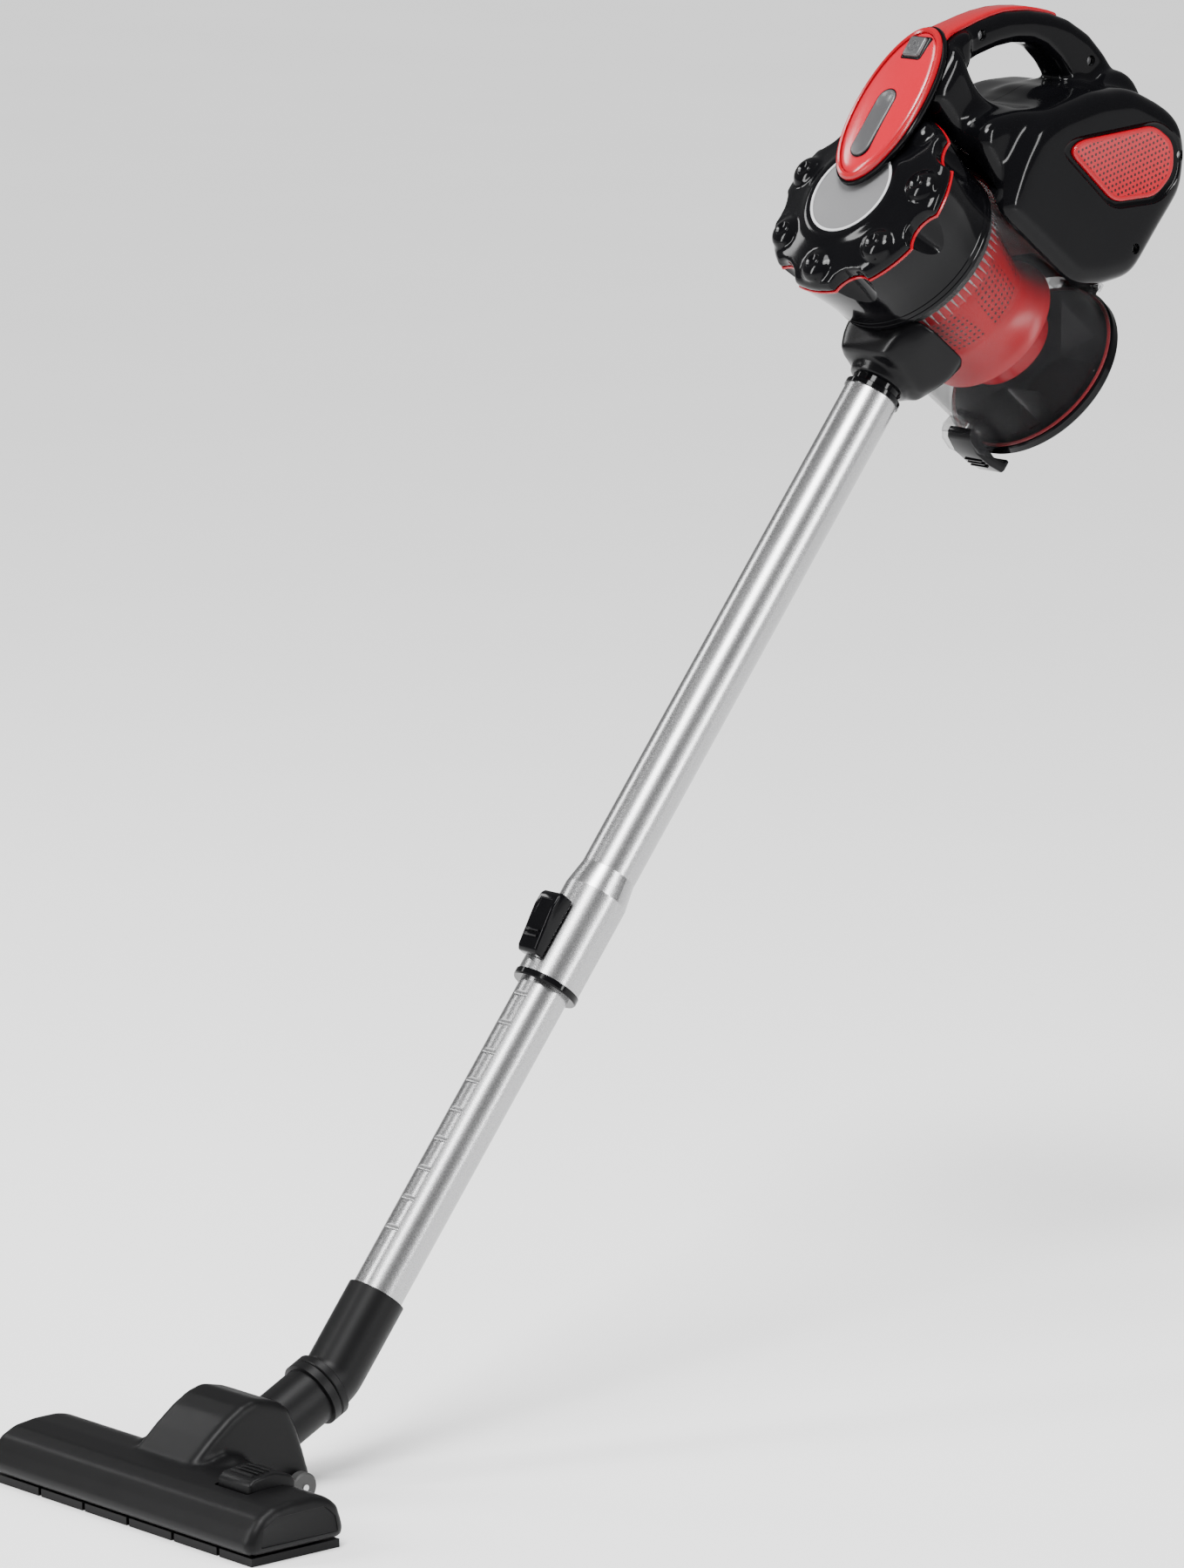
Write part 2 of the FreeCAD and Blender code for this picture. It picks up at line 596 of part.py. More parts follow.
cap = new_body(HAND)
cap_base = D.trim_up + 1.6
cap_high = D.cap_top - D.trim_up - 1.6
extrude(cap, "Pad", circle(new_sketch(cap, "XY_Plane", cap_base), D.cap_core_r), cap_high)
lobe = extrude(cap, "Pad", circle(new_sketch(cap, "XY_Plane", cap_base), D.lobe_r,
                                  (0, -D.lobe_ring_r)), cap_high - 1)
doc.recompute()
lobes = cap.newObject("PartDesign::PolarPattern", "Lobes")
lobes.Originals = [lobe]
z_line = [item for item in cap.Origin.OriginFeatures if item.Role == "Z_Axis"][0]
lobes.Axis = (z_line, [""])
lobes.Angle = 360
lobes.Occurrences = DIMENSIONS["lobe_count"]
cap.Tip = lobes
extrude(cap, "Pocket", circle(new_sketch(cap, "XY_Plane", D.cap_top), D.disc_r + 0.2), 2.4)
extrude(cap, "Pocket", circle(new_sketch(cap, "XY_Plane", cap_base), D.cap_core_r - 7),
        cap_high - 5, back=True)
node(cap, "canister_cap")
turned("cap_disc", HAND, [(0, D.cap_top - 2.3), (D.disc_r, D.cap_top - 2.3),
                          (D.disc_r, D.cap_top + 0.2), (D.disc_r - 2.4, D.cap_top + 0.4),
                          (D.disc_r - 3, D.cap_top - 0.2), (0, D.cap_top - 0.2)])

# Inside: rubber seam seal, filter carrier, pleated filter, perforated cone and vanes.
turned("cup_seal", HAND, [
    (cup_inner - 2, D.seam_up - 6), (cup_inner - 0.1, D.seam_up - 6),
    (cup_inner - 0.1, D.seam_up), (body_inner - 0.1, D.seam_up + 0.1),
    (body_inner - 0.1, D.seam_up + 6), (cup_inner - 2, D.seam_up + 6)])
turned("filter_carrier", HAND, [
    (20, D.seam_up - 3), (cup_inner - 2.2, D.seam_up - 3), (cup_inner - 2.2, D.seam_up + 3),
    (20, D.seam_up + 3)])
turned("pleated_filter", HAND, [(22, -30), (32, -30), (32, 20), (22, 20)])
cone_top = D.seam_up - 3.2
turned("cyclone_cone", HAND, [
    (D.cone_top_r - D.cone_wall, cone_top), (D.cone_top_r, cone_top),
    (D.cone_waist_r, -33), (D.skirt_r, -52), (D.skirt_r, -56), (D.skirt_r - 2, -56),
    (D.skirt_r - 2, -52.6), (D.cone_waist_r - 1.4, -34), (D.cone_waist_r - D.cone_wall, -33)])
turned("cone_foot", HAND, [
    (0, -80), (28, -80), (30, -78), (30, -42.5), (28.4, -42.5), (28.4, -78), (0, -78)])
turned("vane_ring", HAND, [
    (D.cone_top_r + 0.9, D.seam_up - 6), (cup_inner - 2.2, D.seam_up - 6),
    (cup_inner - 2.2, D.seam_up - 3.2), (D.cone_top_r + 0.9, D.seam_up - 3.2)])

# Inlet duct: a short box that grows from the wand's round mouth into the cup's side.
DUCT_MOUTH = 82.0
DUCT_BACK = 46.0
duct = new_body(HAND)
duct_round = circle(new_sketch(duct, "XZ_Plane", DUCT_MOUTH), 20)
duct_wide = outline(new_sketch(duct, "XZ_Plane", DUCT_BACK),
                    [(-30, -20), (-24, -26), (34, -26), (43, -16), (43, 20), (36, 27.6),
                     (-26, 27.6), (-30, 22)])
doc.recompute()
duct_loft = duct.newObject("PartDesign::AdditiveLoft", "Loft")
duct_loft.Profile = duct_wide
duct_loft.Sections = [duct_round]
duct_loft.Ruled = False
node(cut(duct, [
    cylinder(HAND, D.cup_r + 0.1, 160, (0, 0, -90)),
    cylinder(HAND, D.lower_tube_r + D.running_gap, 30, (0, -84, 0), Y_AXIS),
]), "inlet_duct")

# ---- motor housing and handle ------------------------------------------------------------------
# Two clamshell halves in glossy black: a tongue over the canister, the looped handle
# and the motor's casing, which wraps round the back of the cup.

loaf_side = [(34, -60), (66, -95), (145, -95), (168, -70), (166, -32), (108, 24), (80, 36), (34, 26)]
loaf_inside = [(40, -58), (68, -92.4), (143.6, -92.4), (165.4, -69), (163.4, -33.2),
               (107, 21), (80, 32.6), (40, 23)]
root_side = [(62, 20), (66.6, 34), (66.6, 96), (113, 96), (101, 73), (97.5, 60), (98.5, 46),
             (108, 24), (100, 10)]
root_inside = [(69.4, 30), (69.4, 90), (101, 90), (94.8, 60), (96, 44), (103, 22), (90, 10)]
handle_side = [(98, 96), (113, 95.5), (126, 87), (138, 78), (155, 62), (172, 40), (182, 18),
               (185.5, -4), (184, -24), (178, -44), (160, -40), (140, -12), (151, -4),
               (154, 14), (151, 33), (135, 53), (114, 69.5), (101, 73)]
# each screw's place, and how far out its head sits: two in the casing, two in the handle
CASING_SCREWS = [(50.0, 81.5, -83), (50.0, 150, -80)]
HANDLE_SCREWS = [(8.0, 130.5, 73.5), (8.0, 172, -14)]
BUTTON_Y = 99.0
PILL_LOW = 26.0                 # centres of the release button's two round ends
PILL_HIGH = 60.0
PILL_R = 7.3


def pill(radius, base, height):
    """A bar with two round ends, standing on the oval."""
    low_end = cylinder(HAND, radius, height, (0, PILL_LOW, base))
    high_end = cylinder(HAND, radius, height, (0, PILL_HIGH, base))
    middle = block(HAND, (-radius, PILL_LOW, base), (radius, PILL_HIGH, base + height))
    return fuse([low_end, high_end, middle])


CORD_BACK = 100                 # where the mains lead enters, under the casing
GLAND_FOOT = -101
grille_points = [(95.5, 2.5), (106, 1), (151, -47.5), (152.5, -68.5), (137, -81),
                 (117, -77.5), (93, -49)]
vent_centre = (121.5, -40.0)


def shrink(points, centre, share):
    """The same outline drawn nearer to a centre."""
    return [(centre[0] + (y - centre[0]) * share, centre[1] + (z - centre[1]) * share)
            for y, z in points]


housing_solid = fuse([
    slab(HAND, loaf_side, 2 * D.housing_half),
    slab(HAND, root_side, 2 * D.root_half),
    slab(HAND, handle_side, 2 * D.handle_half),
    oval(HAND, D.plate_long_r + 1.8, D.plate_short_r + 1.8, 95.5, 4.6),
])
cavity_loaf = cut(slab(HAND, loaf_inside, 2 * (D.housing_half - D.housing_wall)),
                  [cylinder(HAND, D.saddle_r + 4.6, 140, (0, 0, -100))])
cavity_root = slab(HAND, root_inside, 2 * (D.root_half - D.housing_wall))
housing_cuts = [
    cavity_loaf,
    cavity_root,
    cylinder(HAND, D.saddle_r + 2, 140, (0, 0, -110)),
    cylinder(HAND, 66.3, 66, (0, 0, 29.5)),
    cylinder(HAND, 13.4, 12, (0, 62, PORT_UP), Y_AXIS),
    cylinder(HAND, 8.05, 14, (0, CORD_BACK, GLAND_FOOT - 1)),
    block(HAND, (-7.4, BUTTON_Y - 7.4, 88), (7.4, BUTTON_Y + 7.4, 110)),
    pill(PILL_R + 0.4, 97.2, 6),
    slab(HAND, grille_points, 2 * (D.housing_half + 4)),
]
bosses = []
for head_x, screw_y, screw_z in CASING_SCREWS:
    bosses.append(cylinder(HAND, 5, 111, (-55.5, screw_y, screw_z), X_AXIS))
screw_bores = []
for head_x, screw_y, screw_z in CASING_SCREWS + HANDLE_SCREWS:
    housing_cuts.append(cylinder(HAND, 3.6, 20, (head_x, screw_y, screw_z), X_AXIS))
    screw_bores.append(cylinder(HAND, 1.55, 40, (head_x - 22, screw_y, screw_z), X_AXIS))
    screw_bores.append(cylinder(HAND, 3.1, 20, (head_x - 0.05, screw_y, screw_z), X_AXIS))
hollow_housing = cut(housing_solid, housing_cuts)
for side_name, x_low in (("right", -90), ("left", 0)):
    with_bosses = cut(fuse([hollow_housing] + bosses), screw_bores)
    half_space = block(HAND, (x_low, -40, -140), (x_low + 90, 240, 140))
    node(common(with_bosses, half_space), "housing_" + side_name)

screws = []
for head_x, screw_y, screw_z in CASING_SCREWS + HANDLE_SCREWS:
    screws.append(fuse([
        cylinder(HAND, 1.5, 20, (head_x - 20, screw_y, screw_z), X_AXIS),
        cylinder(HAND, 3.0, 2, (head_x, screw_y, screw_z), X_AXIS)]))
group(screws, "housing_screws")

# The coloured liner in the hollow that the cup rests against.
liner_ring = new_body(HAND)
turn(liner_ring, [(D.saddle_r, -66), (D.saddle_r + 1.9, -66), (D.saddle_r + 1.9, 22),
                  (D.saddle_r, 22)])
node(common(liner_ring, block(HAND, (-44, 41.5, -80), (44, 80, 30))), "saddle_liner")

# Coloured strip over the handle, rim of the oval and its glossy plate.
strip_side = [(118.2, 92.3), (126, 87.1), (138, 78.1), (155, 62.1), (172, 40.1), (178, 27),
              (179.6, 27.8), (173.8, 41.2), (156.4, 63.6), (139.2, 79.6), (127, 88.6),
              (118.2, 95)]
node(slab(HAND, strip_side, 18), "handle_strip")
button_well = block(HAND, (-7.4, BUTTON_Y - 7.4, 95), (7.4, BUTTON_Y + 7.4, 110))
node(cut(oval(HAND, D.plate_long_r, D.plate_short_r, D.plate_base, 3.0),
         [oval(HAND, D.plate_long_r - 4.4, D.plate_short_r - 3.4, D.plate_base - 1, 6),
          button_well]),
     "plate_bezel")
node(cut(oval(HAND, D.plate_long_r - 4.5, D.plate_short_r - 3.5, D.plate_base, 4.0),
         [button_well, pill(PILL_R + 0.4, 99, 9)]),
     "oval_plate")

# Buttons: the square power button on its switch, and the long canister release.
node(block(HAND, (-7, BUTTON_Y - 7, 98.6), (7, BUTTON_Y + 7, 106)), "power_button")
node(cylinder(HAND, 2.6, 4.4, (0, BUTTON_Y - 3, 94.1)), "button_spring")
node(block(HAND, (-6.5, 92.3, 84), (6.5, 99.3, 94)), "power_switch")
node(pill(PILL_R, DIMENSIONS["plate_base"] + 0.2, 4.6), "release_button")

# Side vents and the foam behind them.
for side_name, low in (("right", -58.4), ("left", 54.0)):
    node(slab(HAND, shrink(grille_points, vent_centre, 0.992), 4.4, "YZ_Plane", False, low),
         "vent_grille_" + side_name)
foams = []
for low in (-52.8, 46.4):
    foams.append(slab(HAND, shrink(grille_points, vent_centre, 0.86), 6.4, "YZ_Plane", False, low))
group(foams, "exhaust_foam")

# Rubber gland for the mains lead and the rubber ring at the motor's air port.
gland_frame = HAND * FreeCAD.Placement(V(0, CORD_BACK, GLAND_FOOT), FreeCAD.Rotation())
turned("cord_gland", gland_frame, [
    (4, 0), (6.5, 0), (8, 2), (8, 5.8), (8, 9), (9.6, 9), (9.6, 12), (4, 12)])
port_frame = HAND * FreeCAD.Placement(V(0, 62.2, PORT_UP), FreeCAD.Rotation(Z_AXIS, Y_AXIS))
turned("inlet_seal", port_frame, [
    (10.6, 0), (13.3, 0), (13.3, 7.3), (15, 7.3), (15, 8.8), (10.6, 8.8)])

# ---- motor --------------------------------------------------------------------------------------
# A mains motor across the housing, with its fan at one end.

MOTOR = HAND * FreeCAD.Placement(V(0, DIMENSIONS["motor_back"], DIMENSIONS["motor_up"]),
                                 FreeCAD.Rotation(Z_AXIS, X_AXIS))
turned("motor_stator", MOTOR, [
    (17, -26), (D.stator_r, -26), (D.stator_r, 28), (17, 28)])
turned("motor_rotor", MOTOR, [
    (0, -42), (D.shaft_r, -42), (D.shaft_r, -24), (16, -24), (16, 22), (9, 22), (9, 34),
    (D.shaft_r, 34), (D.shaft_r, 44), (0, 44)])
turned("impeller", MOTOR, [
    (D.shaft_r, -41.6), (14, -41.6), (14, -40), (D.impeller_r, -36), (D.impeller_r, -33.6),
    (D.shaft_r, -33.6)])
turned("fan_cover", MOTOR, [
    (16, -45.5), (D.impeller_r + 3, -42), (D.impeller_r + 3, -27.5), (D.impeller_r + 1.2, -27.5),
    (D.impeller_r + 1.2, -40.4), (16, -43.9)])
turned("diffuser", MOTOR, [
    (11.1, -32.6), (D.impeller_r + 1, -32.6), (D.impeller_r + 1, -27.5), (30, -27.5), (30, -26.1),
    (11.1, -26.1)])
bearings = []
for bearing_up in (-32.6, 36.2):
    bearing = new_body(MOTOR)
    turn(bearing, [
        (D.shaft_r + 0.02, bearing_up), (11, bearing_up), (11, bearing_up + 7),
        (D.shaft_r + 0.02, bearing_up + 7)])
    bearings.append(bearing)
group(bearings, "motor_bearings")
turned("end_bracket", MOTOR, [
    (11.1, 35.5), (14, 35.5), (14, 40), (27.9, 40), (27.9, 28.1), (30.4, 28.1), (30.4, 44),
    (11.1, 44)])
carbons = []
for side in (-1, 1):
    carbon = block(MOTOR, (side * 16 - 6.7, -3, 25.5), (side * 16 + 6.7, 3, 32.5))
    commutator_room = cylinder(MOTOR, 9.3, 20, (0, 0, 20))
    winding_room = cut(cylinder(MOTOR, 40, 3.1, (0, 0, 25)),
                       [cylinder(MOTOR, 16.9, 4, (0, 0, 24.5))])
    carbons.append(cut(carbon, [commutator_room, winding_room]))
group(carbons, "carbon_brushes")
mounts = []
for mount_up in (-24, 18):
    mount = new_body(MOTOR)
    turn(mount, [
        (D.stator_r + 0.05, mount_up), (32.5, mount_up), (34, mount_up + 2), (34, mount_up + 6),
        (D.stator_r + 0.05, mount_up + 6)])
    mounts.append(mount)
group(mounts, "motor_mounts")

# ---- checks and files ------------------------------------------------------------------------
doc.recompute()
faults = []
for thing in doc.Objects:
    if "Invalid" in thing.State or "Error" in thing.State:
        faults.append("%s is %s" % (thing.Name, thing.State))
for thing in node_list:
    shape = thing.Shape
    if shape.isNull() or not shape.isValid() or not shape.Solids:
        faults.append("%s has no valid solid" % thing.Label)
if faults:
    raise RuntimeError("; ".join(faults))

os.makedirs("parts", exist_ok=True)
for thing in node_list:
    thing.Shape.exportStep("parts/%s.step" % thing.Label)
    print("%-20s %9.0f mm3 %d solid" % (thing.Label, thing.Shape.Volume, len(thing.Shape.Solids)))
print(len(node_list), "nodes")
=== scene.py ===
import math

import bpy
from mathutils import Matrix, Vector
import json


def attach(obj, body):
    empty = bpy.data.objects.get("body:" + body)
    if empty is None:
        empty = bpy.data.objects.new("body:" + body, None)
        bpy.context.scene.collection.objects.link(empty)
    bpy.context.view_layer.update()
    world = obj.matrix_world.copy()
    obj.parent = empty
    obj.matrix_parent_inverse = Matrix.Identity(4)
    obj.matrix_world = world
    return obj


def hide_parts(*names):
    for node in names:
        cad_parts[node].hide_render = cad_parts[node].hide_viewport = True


# A corded stick vacuum cleaner: a floor head, a telescopic wand and a hand-held cleaner
# with a clear cyclone canister.  Shapes are drawn in millimetres in the frame of their
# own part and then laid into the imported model's frame.

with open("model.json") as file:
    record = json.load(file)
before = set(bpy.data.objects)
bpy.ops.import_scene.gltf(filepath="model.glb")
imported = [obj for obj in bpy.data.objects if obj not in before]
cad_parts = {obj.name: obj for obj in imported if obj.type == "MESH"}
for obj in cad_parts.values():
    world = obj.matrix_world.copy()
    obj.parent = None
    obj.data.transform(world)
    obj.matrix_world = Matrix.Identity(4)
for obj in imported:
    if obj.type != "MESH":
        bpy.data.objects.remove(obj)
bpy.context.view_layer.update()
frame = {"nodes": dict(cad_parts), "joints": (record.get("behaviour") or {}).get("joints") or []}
joints = {joint["name"]: joint for joint in frame["joints"]}

# ---- floor head: shell -----------------------------------------------------------------
# A low bar the width of the head with a hood in its middle that carries the neck.  It is
# one moulding in black ABS with a fine sparked texture, open underneath.

FLOOR_FRAME = Matrix.Scale(0.001, 4)


def pick(piece):
    """Selects one piece alone and makes it active."""
    bpy.ops.object.select_all(action="DESELECT")
    piece.select_set(True)
    bpy.context.view_layer.objects.active = piece
    return piece


def prism(outline, low, high):
    """A closed block whose side view, in Y and Z, is the outline, from low to high on X."""
    bpy.ops.object.select_all(action="DESELECT")
    bpy.ops.mesh.primitive_circle_add(vertices=len(outline), radius=1, fill_type="NGON")
    piece = bpy.context.object
    for vertex, (back, up) in zip(piece.data.vertices, outline):
        vertex.co = (low, back, up)
    bpy.ops.object.mode_set(mode="EDIT")
    bpy.ops.mesh.select_all(action="SELECT")
    bpy.ops.mesh.extrude_region_move(TRANSFORM_OT_translate={"value": (high - low, 0, 0)})
    bpy.ops.mesh.select_all(action="SELECT")
    bpy.ops.mesh.normals_make_consistent(inside=False)
    bpy.ops.object.mode_set(mode="OBJECT")
    return piece


def finish_with(piece, kind, **settings):
    """Adds one modifier with its settings and applies it."""
    pick(piece)
    modifier = piece.modifiers.new(kind.title(), kind)
    for name, value in settings.items():
        setattr(modifier, name, value)
    bpy.ops.object.modifier_apply(modifier=modifier.name)
    return piece


def rounded(piece, width, steps=4, corner=30):
    """Rounds every edge that is sharper than the corner angle."""
    return finish_with(piece, "BEVEL", width=width, segments=steps, limit_method="ANGLE",
                       angle_limit=math.radians(corner))


def joined(pieces):
    """Several pieces as one object."""
    pick(pieces[0])
    for piece in pieces[1:]:
        piece.select_set(True)
    bpy.ops.object.join()
    return bpy.context.object


def moulded(pieces, grid, rounds):
    """Pieces melted into one moulding with soft inner corners."""
    piece = joined(pieces)
    finish_with(piece, "REMESH", mode="VOXEL", voxel_size=grid)
    return finish_with(piece, "SMOOTH", factor=0.5, iterations=rounds)


def carved(piece, cutter):
    """The piece with the cutter's shape taken out of it."""
    finish_with(piece, "BOOLEAN", operation="DIFFERENCE", solver="EXACT", object=cutter)
    bpy.data.objects.remove(cutter)
    return piece


def settled(piece, name, place, body, nodes=(), crease=32):
    """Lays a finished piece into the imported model's frame and fixes it to its body."""
    pick(piece)
    piece.name = name
    piece.data.name = name
    piece.matrix_world = place @ piece.matrix_world
    bpy.ops.object.transform_apply(location=True, rotation=True, scale=True)
    bpy.ops.object.shade_smooth_by_angle(angle=math.radians(crease))
    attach(piece, body)
    if nodes:
        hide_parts(*nodes)
    return piece


class Shade:
    """A value in a material's node tree, on which arithmetic adds Math nodes."""

    def __init__(self, tree, socket):
        self.tree = tree
        self.socket = socket

    def add(self, kind, settings, inputs, output=0):
        """A new node with its settings, and the values or links of its sockets."""
        node = self.tree.nodes.new(kind)
        for name, value in settings.items():
            setattr(node, name, value)
        for name, value in inputs.items():
            if isinstance(value, Shade):
                self.tree.links.new(value.socket, node.inputs[name])
            else:
                node.inputs[name].default_value = value
        return Shade(self.tree, node.outputs[output])

    def work(self, operation, *others):
        """A Math node whose first value is this one."""
        values = dict(enumerate((self, *others)))
        return self.add("ShaderNodeMath", {"operation": operation}, values)

    def __add__(self, other):
        return self.work("ADD", other)

    __radd__ = __add__

    def __sub__(self, other):
        return self.work("SUBTRACT", other)

    def __rsub__(self, other):
        return self.work("MULTIPLY_ADD", -1.0, other)

    def __mul__(self, other):
        return self.work("MULTIPLY", other)

    __rmul__ = __mul__

    def __truediv__(self, other):
        return self.work("DIVIDE", other)

    def __rtruediv__(self, other):
        return self.work("POWER", -1.0) * other

    def __lt__(self, other):
        return self.work("LESS_THAN", other)

    def __gt__(self, other):
        return self.work("GREATER_THAN", other)


def material(name, **settings):
    """A new material, its Principled shader with plain settings, and its place on the part."""
    made = bpy.data.materials.new(name)
    made.use_nodes = True
    surface = made.node_tree.nodes["Principled BSDF"]
    for socket, value in settings.items():
        surface.inputs[socket.replace("_", " ")].default_value = value
    spot = made.node_tree.nodes.new("ShaderNodeTexCoord")
    return made, surface, Shade(made.node_tree, spot.outputs["Object"])


def drive(surface, socket, shade):
    """Links a shade to one socket of the surface."""
    shade.tree.links.new(shade.socket, surface.inputs[socket])


def mixed(share, low_colour, high_colour):
    """A colour between two, by share."""
    return share.add("ShaderNodeMix", {"data_type": "RGBA"},
                     {0: share, 6: low_colour, 7: high_colour}, 2)


def plastic(name, deep, pale, roughness, grain, relief, **settings):
    """Moulded plastic: colour and gloss drift slightly, over a fine surface texture."""
    made, surface, spot = material(name, **settings)
    drift = spot.add("ShaderNodeTexNoise", {}, {"Vector": spot, "Scale": 26.0, "Detail": 4.0})
    fine = spot.add("ShaderNodeTexNoise", {}, {"Vector": spot, "Scale": 1 / grain,
                                               "Detail": 2.0})
    drive(surface, "Base Color", mixed(drift * 0.7 + fine * 0.3, deep, pale))
    drive(surface, "Roughness", roughness * 0.85 + roughness * 0.2 * drift
          + roughness * 0.1 * fine)
    bump = spot.add("ShaderNodeBump", {}, {"Strength": 0.5, "Distance": relief,
                                           "Height": fine})
    drive(surface, "Normal", bump)
    return made


def coated(piece, made):
    """Gives a piece one material all over."""
    piece.data.materials.clear()
    piece.data.materials.append(made)
    return piece


def dressed(made, *names):
    """Gives CAD nodes their material."""
    for name in names:
        coated(frame["nodes"][name], made)


sparked_black = plastic("sparked_black", (0.002, 0.002, 0.0022, 1), (0.004, 0.004, 0.0043, 1),
                        0.42, 0.00045, 0.00005, Specular_IOR_Level=0.13)

BAR_SIDE = [(-41, 6), (-41, 14), (-37.5, 21.5), (-32, 28), (-22, 32.6), (-8, 34.4),
            (8, 34.4), (18, 33), (26, 26), (29.5, 16), (31, 6)]
HOOD_SIDE = [(-14, 28), (-4, 37), (9, 48), (22, 57.5), (33, 63.4), (43, 66), (56, 63),
             (67, 58.6), (74, 44), (79, 30), (84, 14), (84, 6), (0, 6)]
FLARE_SIDE = [(-16, 24), (0, 34), (18, 38), (32, 34), (40, 22), (44, 6), (-10, 6)]
HOOD_ROOM = [(12, 4), (12, 40), (31, 58), (42, 61.6), (58, 58.5), (96, 63), (96, 4)]
head_shell = moulded([
    rounded(prism(BAR_SIDE, -125, 125), 6),
    rounded(prism(HOOD_SIDE, -28, 28), 5),
    rounded(prism(FLARE_SIDE, -44, 44), 8),
], 1.7, 5)
carved(head_shell, prism([(-37.5, 0), (-37.5, 14), (-20, 29), (16, 30), (28, 20), (28, 0)],
                         -121.8, 121.8))
carved(head_shell, prism(HOOD_ROOM, -25.6, 25.6))
carved(head_shell, rounded(prism([(-17, 24), (-17, 60), (21.5, 60), (21.5, 24)],
                                 61.2, 92.8), 2))
for end in (-1, 1):
    panel = rounded(prism([(-33, 11), (-31, 22), (-21, 27.5), (14, 28), (22, 21), (24, 11)],
                          end * 125.4 - 1.5, end * 125.4 + 1.5), 0.8)
    carved(head_shell, panel)
settled(coated(head_shell, sparked_black), "head_shell_skin", FLOOR_FRAME, "head",
        ["head_shell"], 40)

# ---- floor head: sole, brushes and pedal -----------------------------------------------
# A black sole plate with teeth in front, two rows of nylon bristles on a frame that drops
# through it, and the ribbed foot pedal that rocks on a moulded pin.

dressed(sparked_black, "sole_plate")
nylon, nylon_surface, nylon_spot = material("nylon_bristle", IOR=1.5)
strands = nylon_spot.add("ShaderNodeTexWave", {"bands_direction": "X"},
                         {"Vector": nylon_spot, "Scale": 450.0, "Distortion": 3.0})
drive(nylon_surface, "Base Color", mixed(strands, (0.01, 0.01, 0.01, 1), (0.05, 0.05, 0.05, 1)))
drive(nylon_surface, "Roughness", strands * 0.2 + 0.4)
dressed(nylon, "brush_frame")

PEDAL_SIDE = [(-15, 31), (-14.5, 38), (-11, 40.6), (4, 42.5), (16, 39.5), (19.5, 36),
              (19.5, 30), (10, 24.5), (2, 24.5)]
pedal_parts = [rounded(prism(PEDAL_SIDE, 62, 92), 1.8)]
for rib in range(4):
    rib_back = -9 + rib * 4
    pedal_parts.append(rounded(prism([(rib_back, 39), (rib_back, 42.6 + rib * 0.25),
                                      (rib_back + 1.4, 42.8 + rib * 0.25),
                                      (rib_back + 1.4, 39)], 67, 87), 0.4))
pedal = joined(pedal_parts)
settled(coated(pedal, sparked_black), "foot_pedal", FLOOR_FRAME, "pedal",
        ["mode_pedal"])

# ---- floor head: wheels ----------------------------------------------------------------
# Two hard rubber wheels turning on a steel axle through the hood's cheeks.

tyre_rubber = plastic("tyre_rubber", (0.012, 0.012, 0.012, 1), (0.03, 0.03, 0.03, 1),
                      0.6, 0.0006, 0.0001)
dressed(tyre_rubber, "wheel_left", "wheel_right", "cup_seal", "inlet_seal", "cord_gland",
        "motor_mounts")


def metal(name, deep, pale, roughness, grain, relief):
    """Plain metal: fine streaks in colour and gloss over a faint grain."""
    made, surface, spot = material(name, Metallic=1.0)
    streak = spot.add("ShaderNodeTexNoise", {}, {"Vector": spot, "Scale": 1 / grain,
                                                 "Detail": 3.0})
    cloud = spot.add("ShaderNodeTexNoise", {}, {"Vector": spot, "Scale": 30.0})
    drive(surface, "Base Color", mixed(streak, deep, pale))
    drive(surface, "Roughness", roughness * 0.7 + streak * roughness * 0.35
          + cloud * roughness * 0.25)
    bump = spot.add("ShaderNodeBump", {}, {"Strength": 0.3, "Distance": relief,
                                           "Height": streak})
    drive(surface, "Normal", bump)
    return made


plain_steel = metal("plain_steel", (0.42, 0.42, 0.43, 1), (0.6, 0.6, 0.61, 1),
                    0.3, 0.0008, 0.00003)
dressed(plain_steel, "wheel_axle", "door_pin", "latch_spring", "lock_spring", "button_spring",
        "motor_bearings", "motor_rotor", "motor_stator", "end_bracket")

# ---- neck and elbow --------------------------------------------------------------------
# The neck barrel tilts in the hood and turns on the swivel ring under the bent elbow.
# All three are matt black mouldings.

dressed(sparked_black, "neck_barrel", "swivel_ring", "elbow")

# ---- telescopic wand -------------------------------------------------------------------
# Two thin steel tubes lacquered in speckled silver.  The upper one is swaged out over a
# black bush, and the lower one has a row of dents for the lock.

tube_silver = metal("speckled_silver", (0.26, 0.26, 0.265, 1), (0.50, 0.50, 0.505, 1),
                    0.27, 0.0008, 0.00008)
dressed(tube_silver, "upper_tube", "lower_tube")

gloss_black = plastic("gloss_black", (0.0015, 0.0015, 0.002, 1), (0.003, 0.003, 0.0035, 1),
                      0.10, 0.004, 0.00002, Specular_IOR_Level=0.13)
satin_black = plastic("satin_black", (0.002, 0.002, 0.0025, 1), (0.004, 0.004, 0.0045, 1),
                      0.26, 0.0006, 0.00002, Specular_IOR_Level=0.13)
dressed(gloss_black, "guide_bush", "plug_sleeve")
dressed(satin_black, "lock_pawl")

# ---- wand lock -------------------------------------------------------------------------
# A glossy thumb slide over the bell: pulling it down lifts the pawl out of its dent.

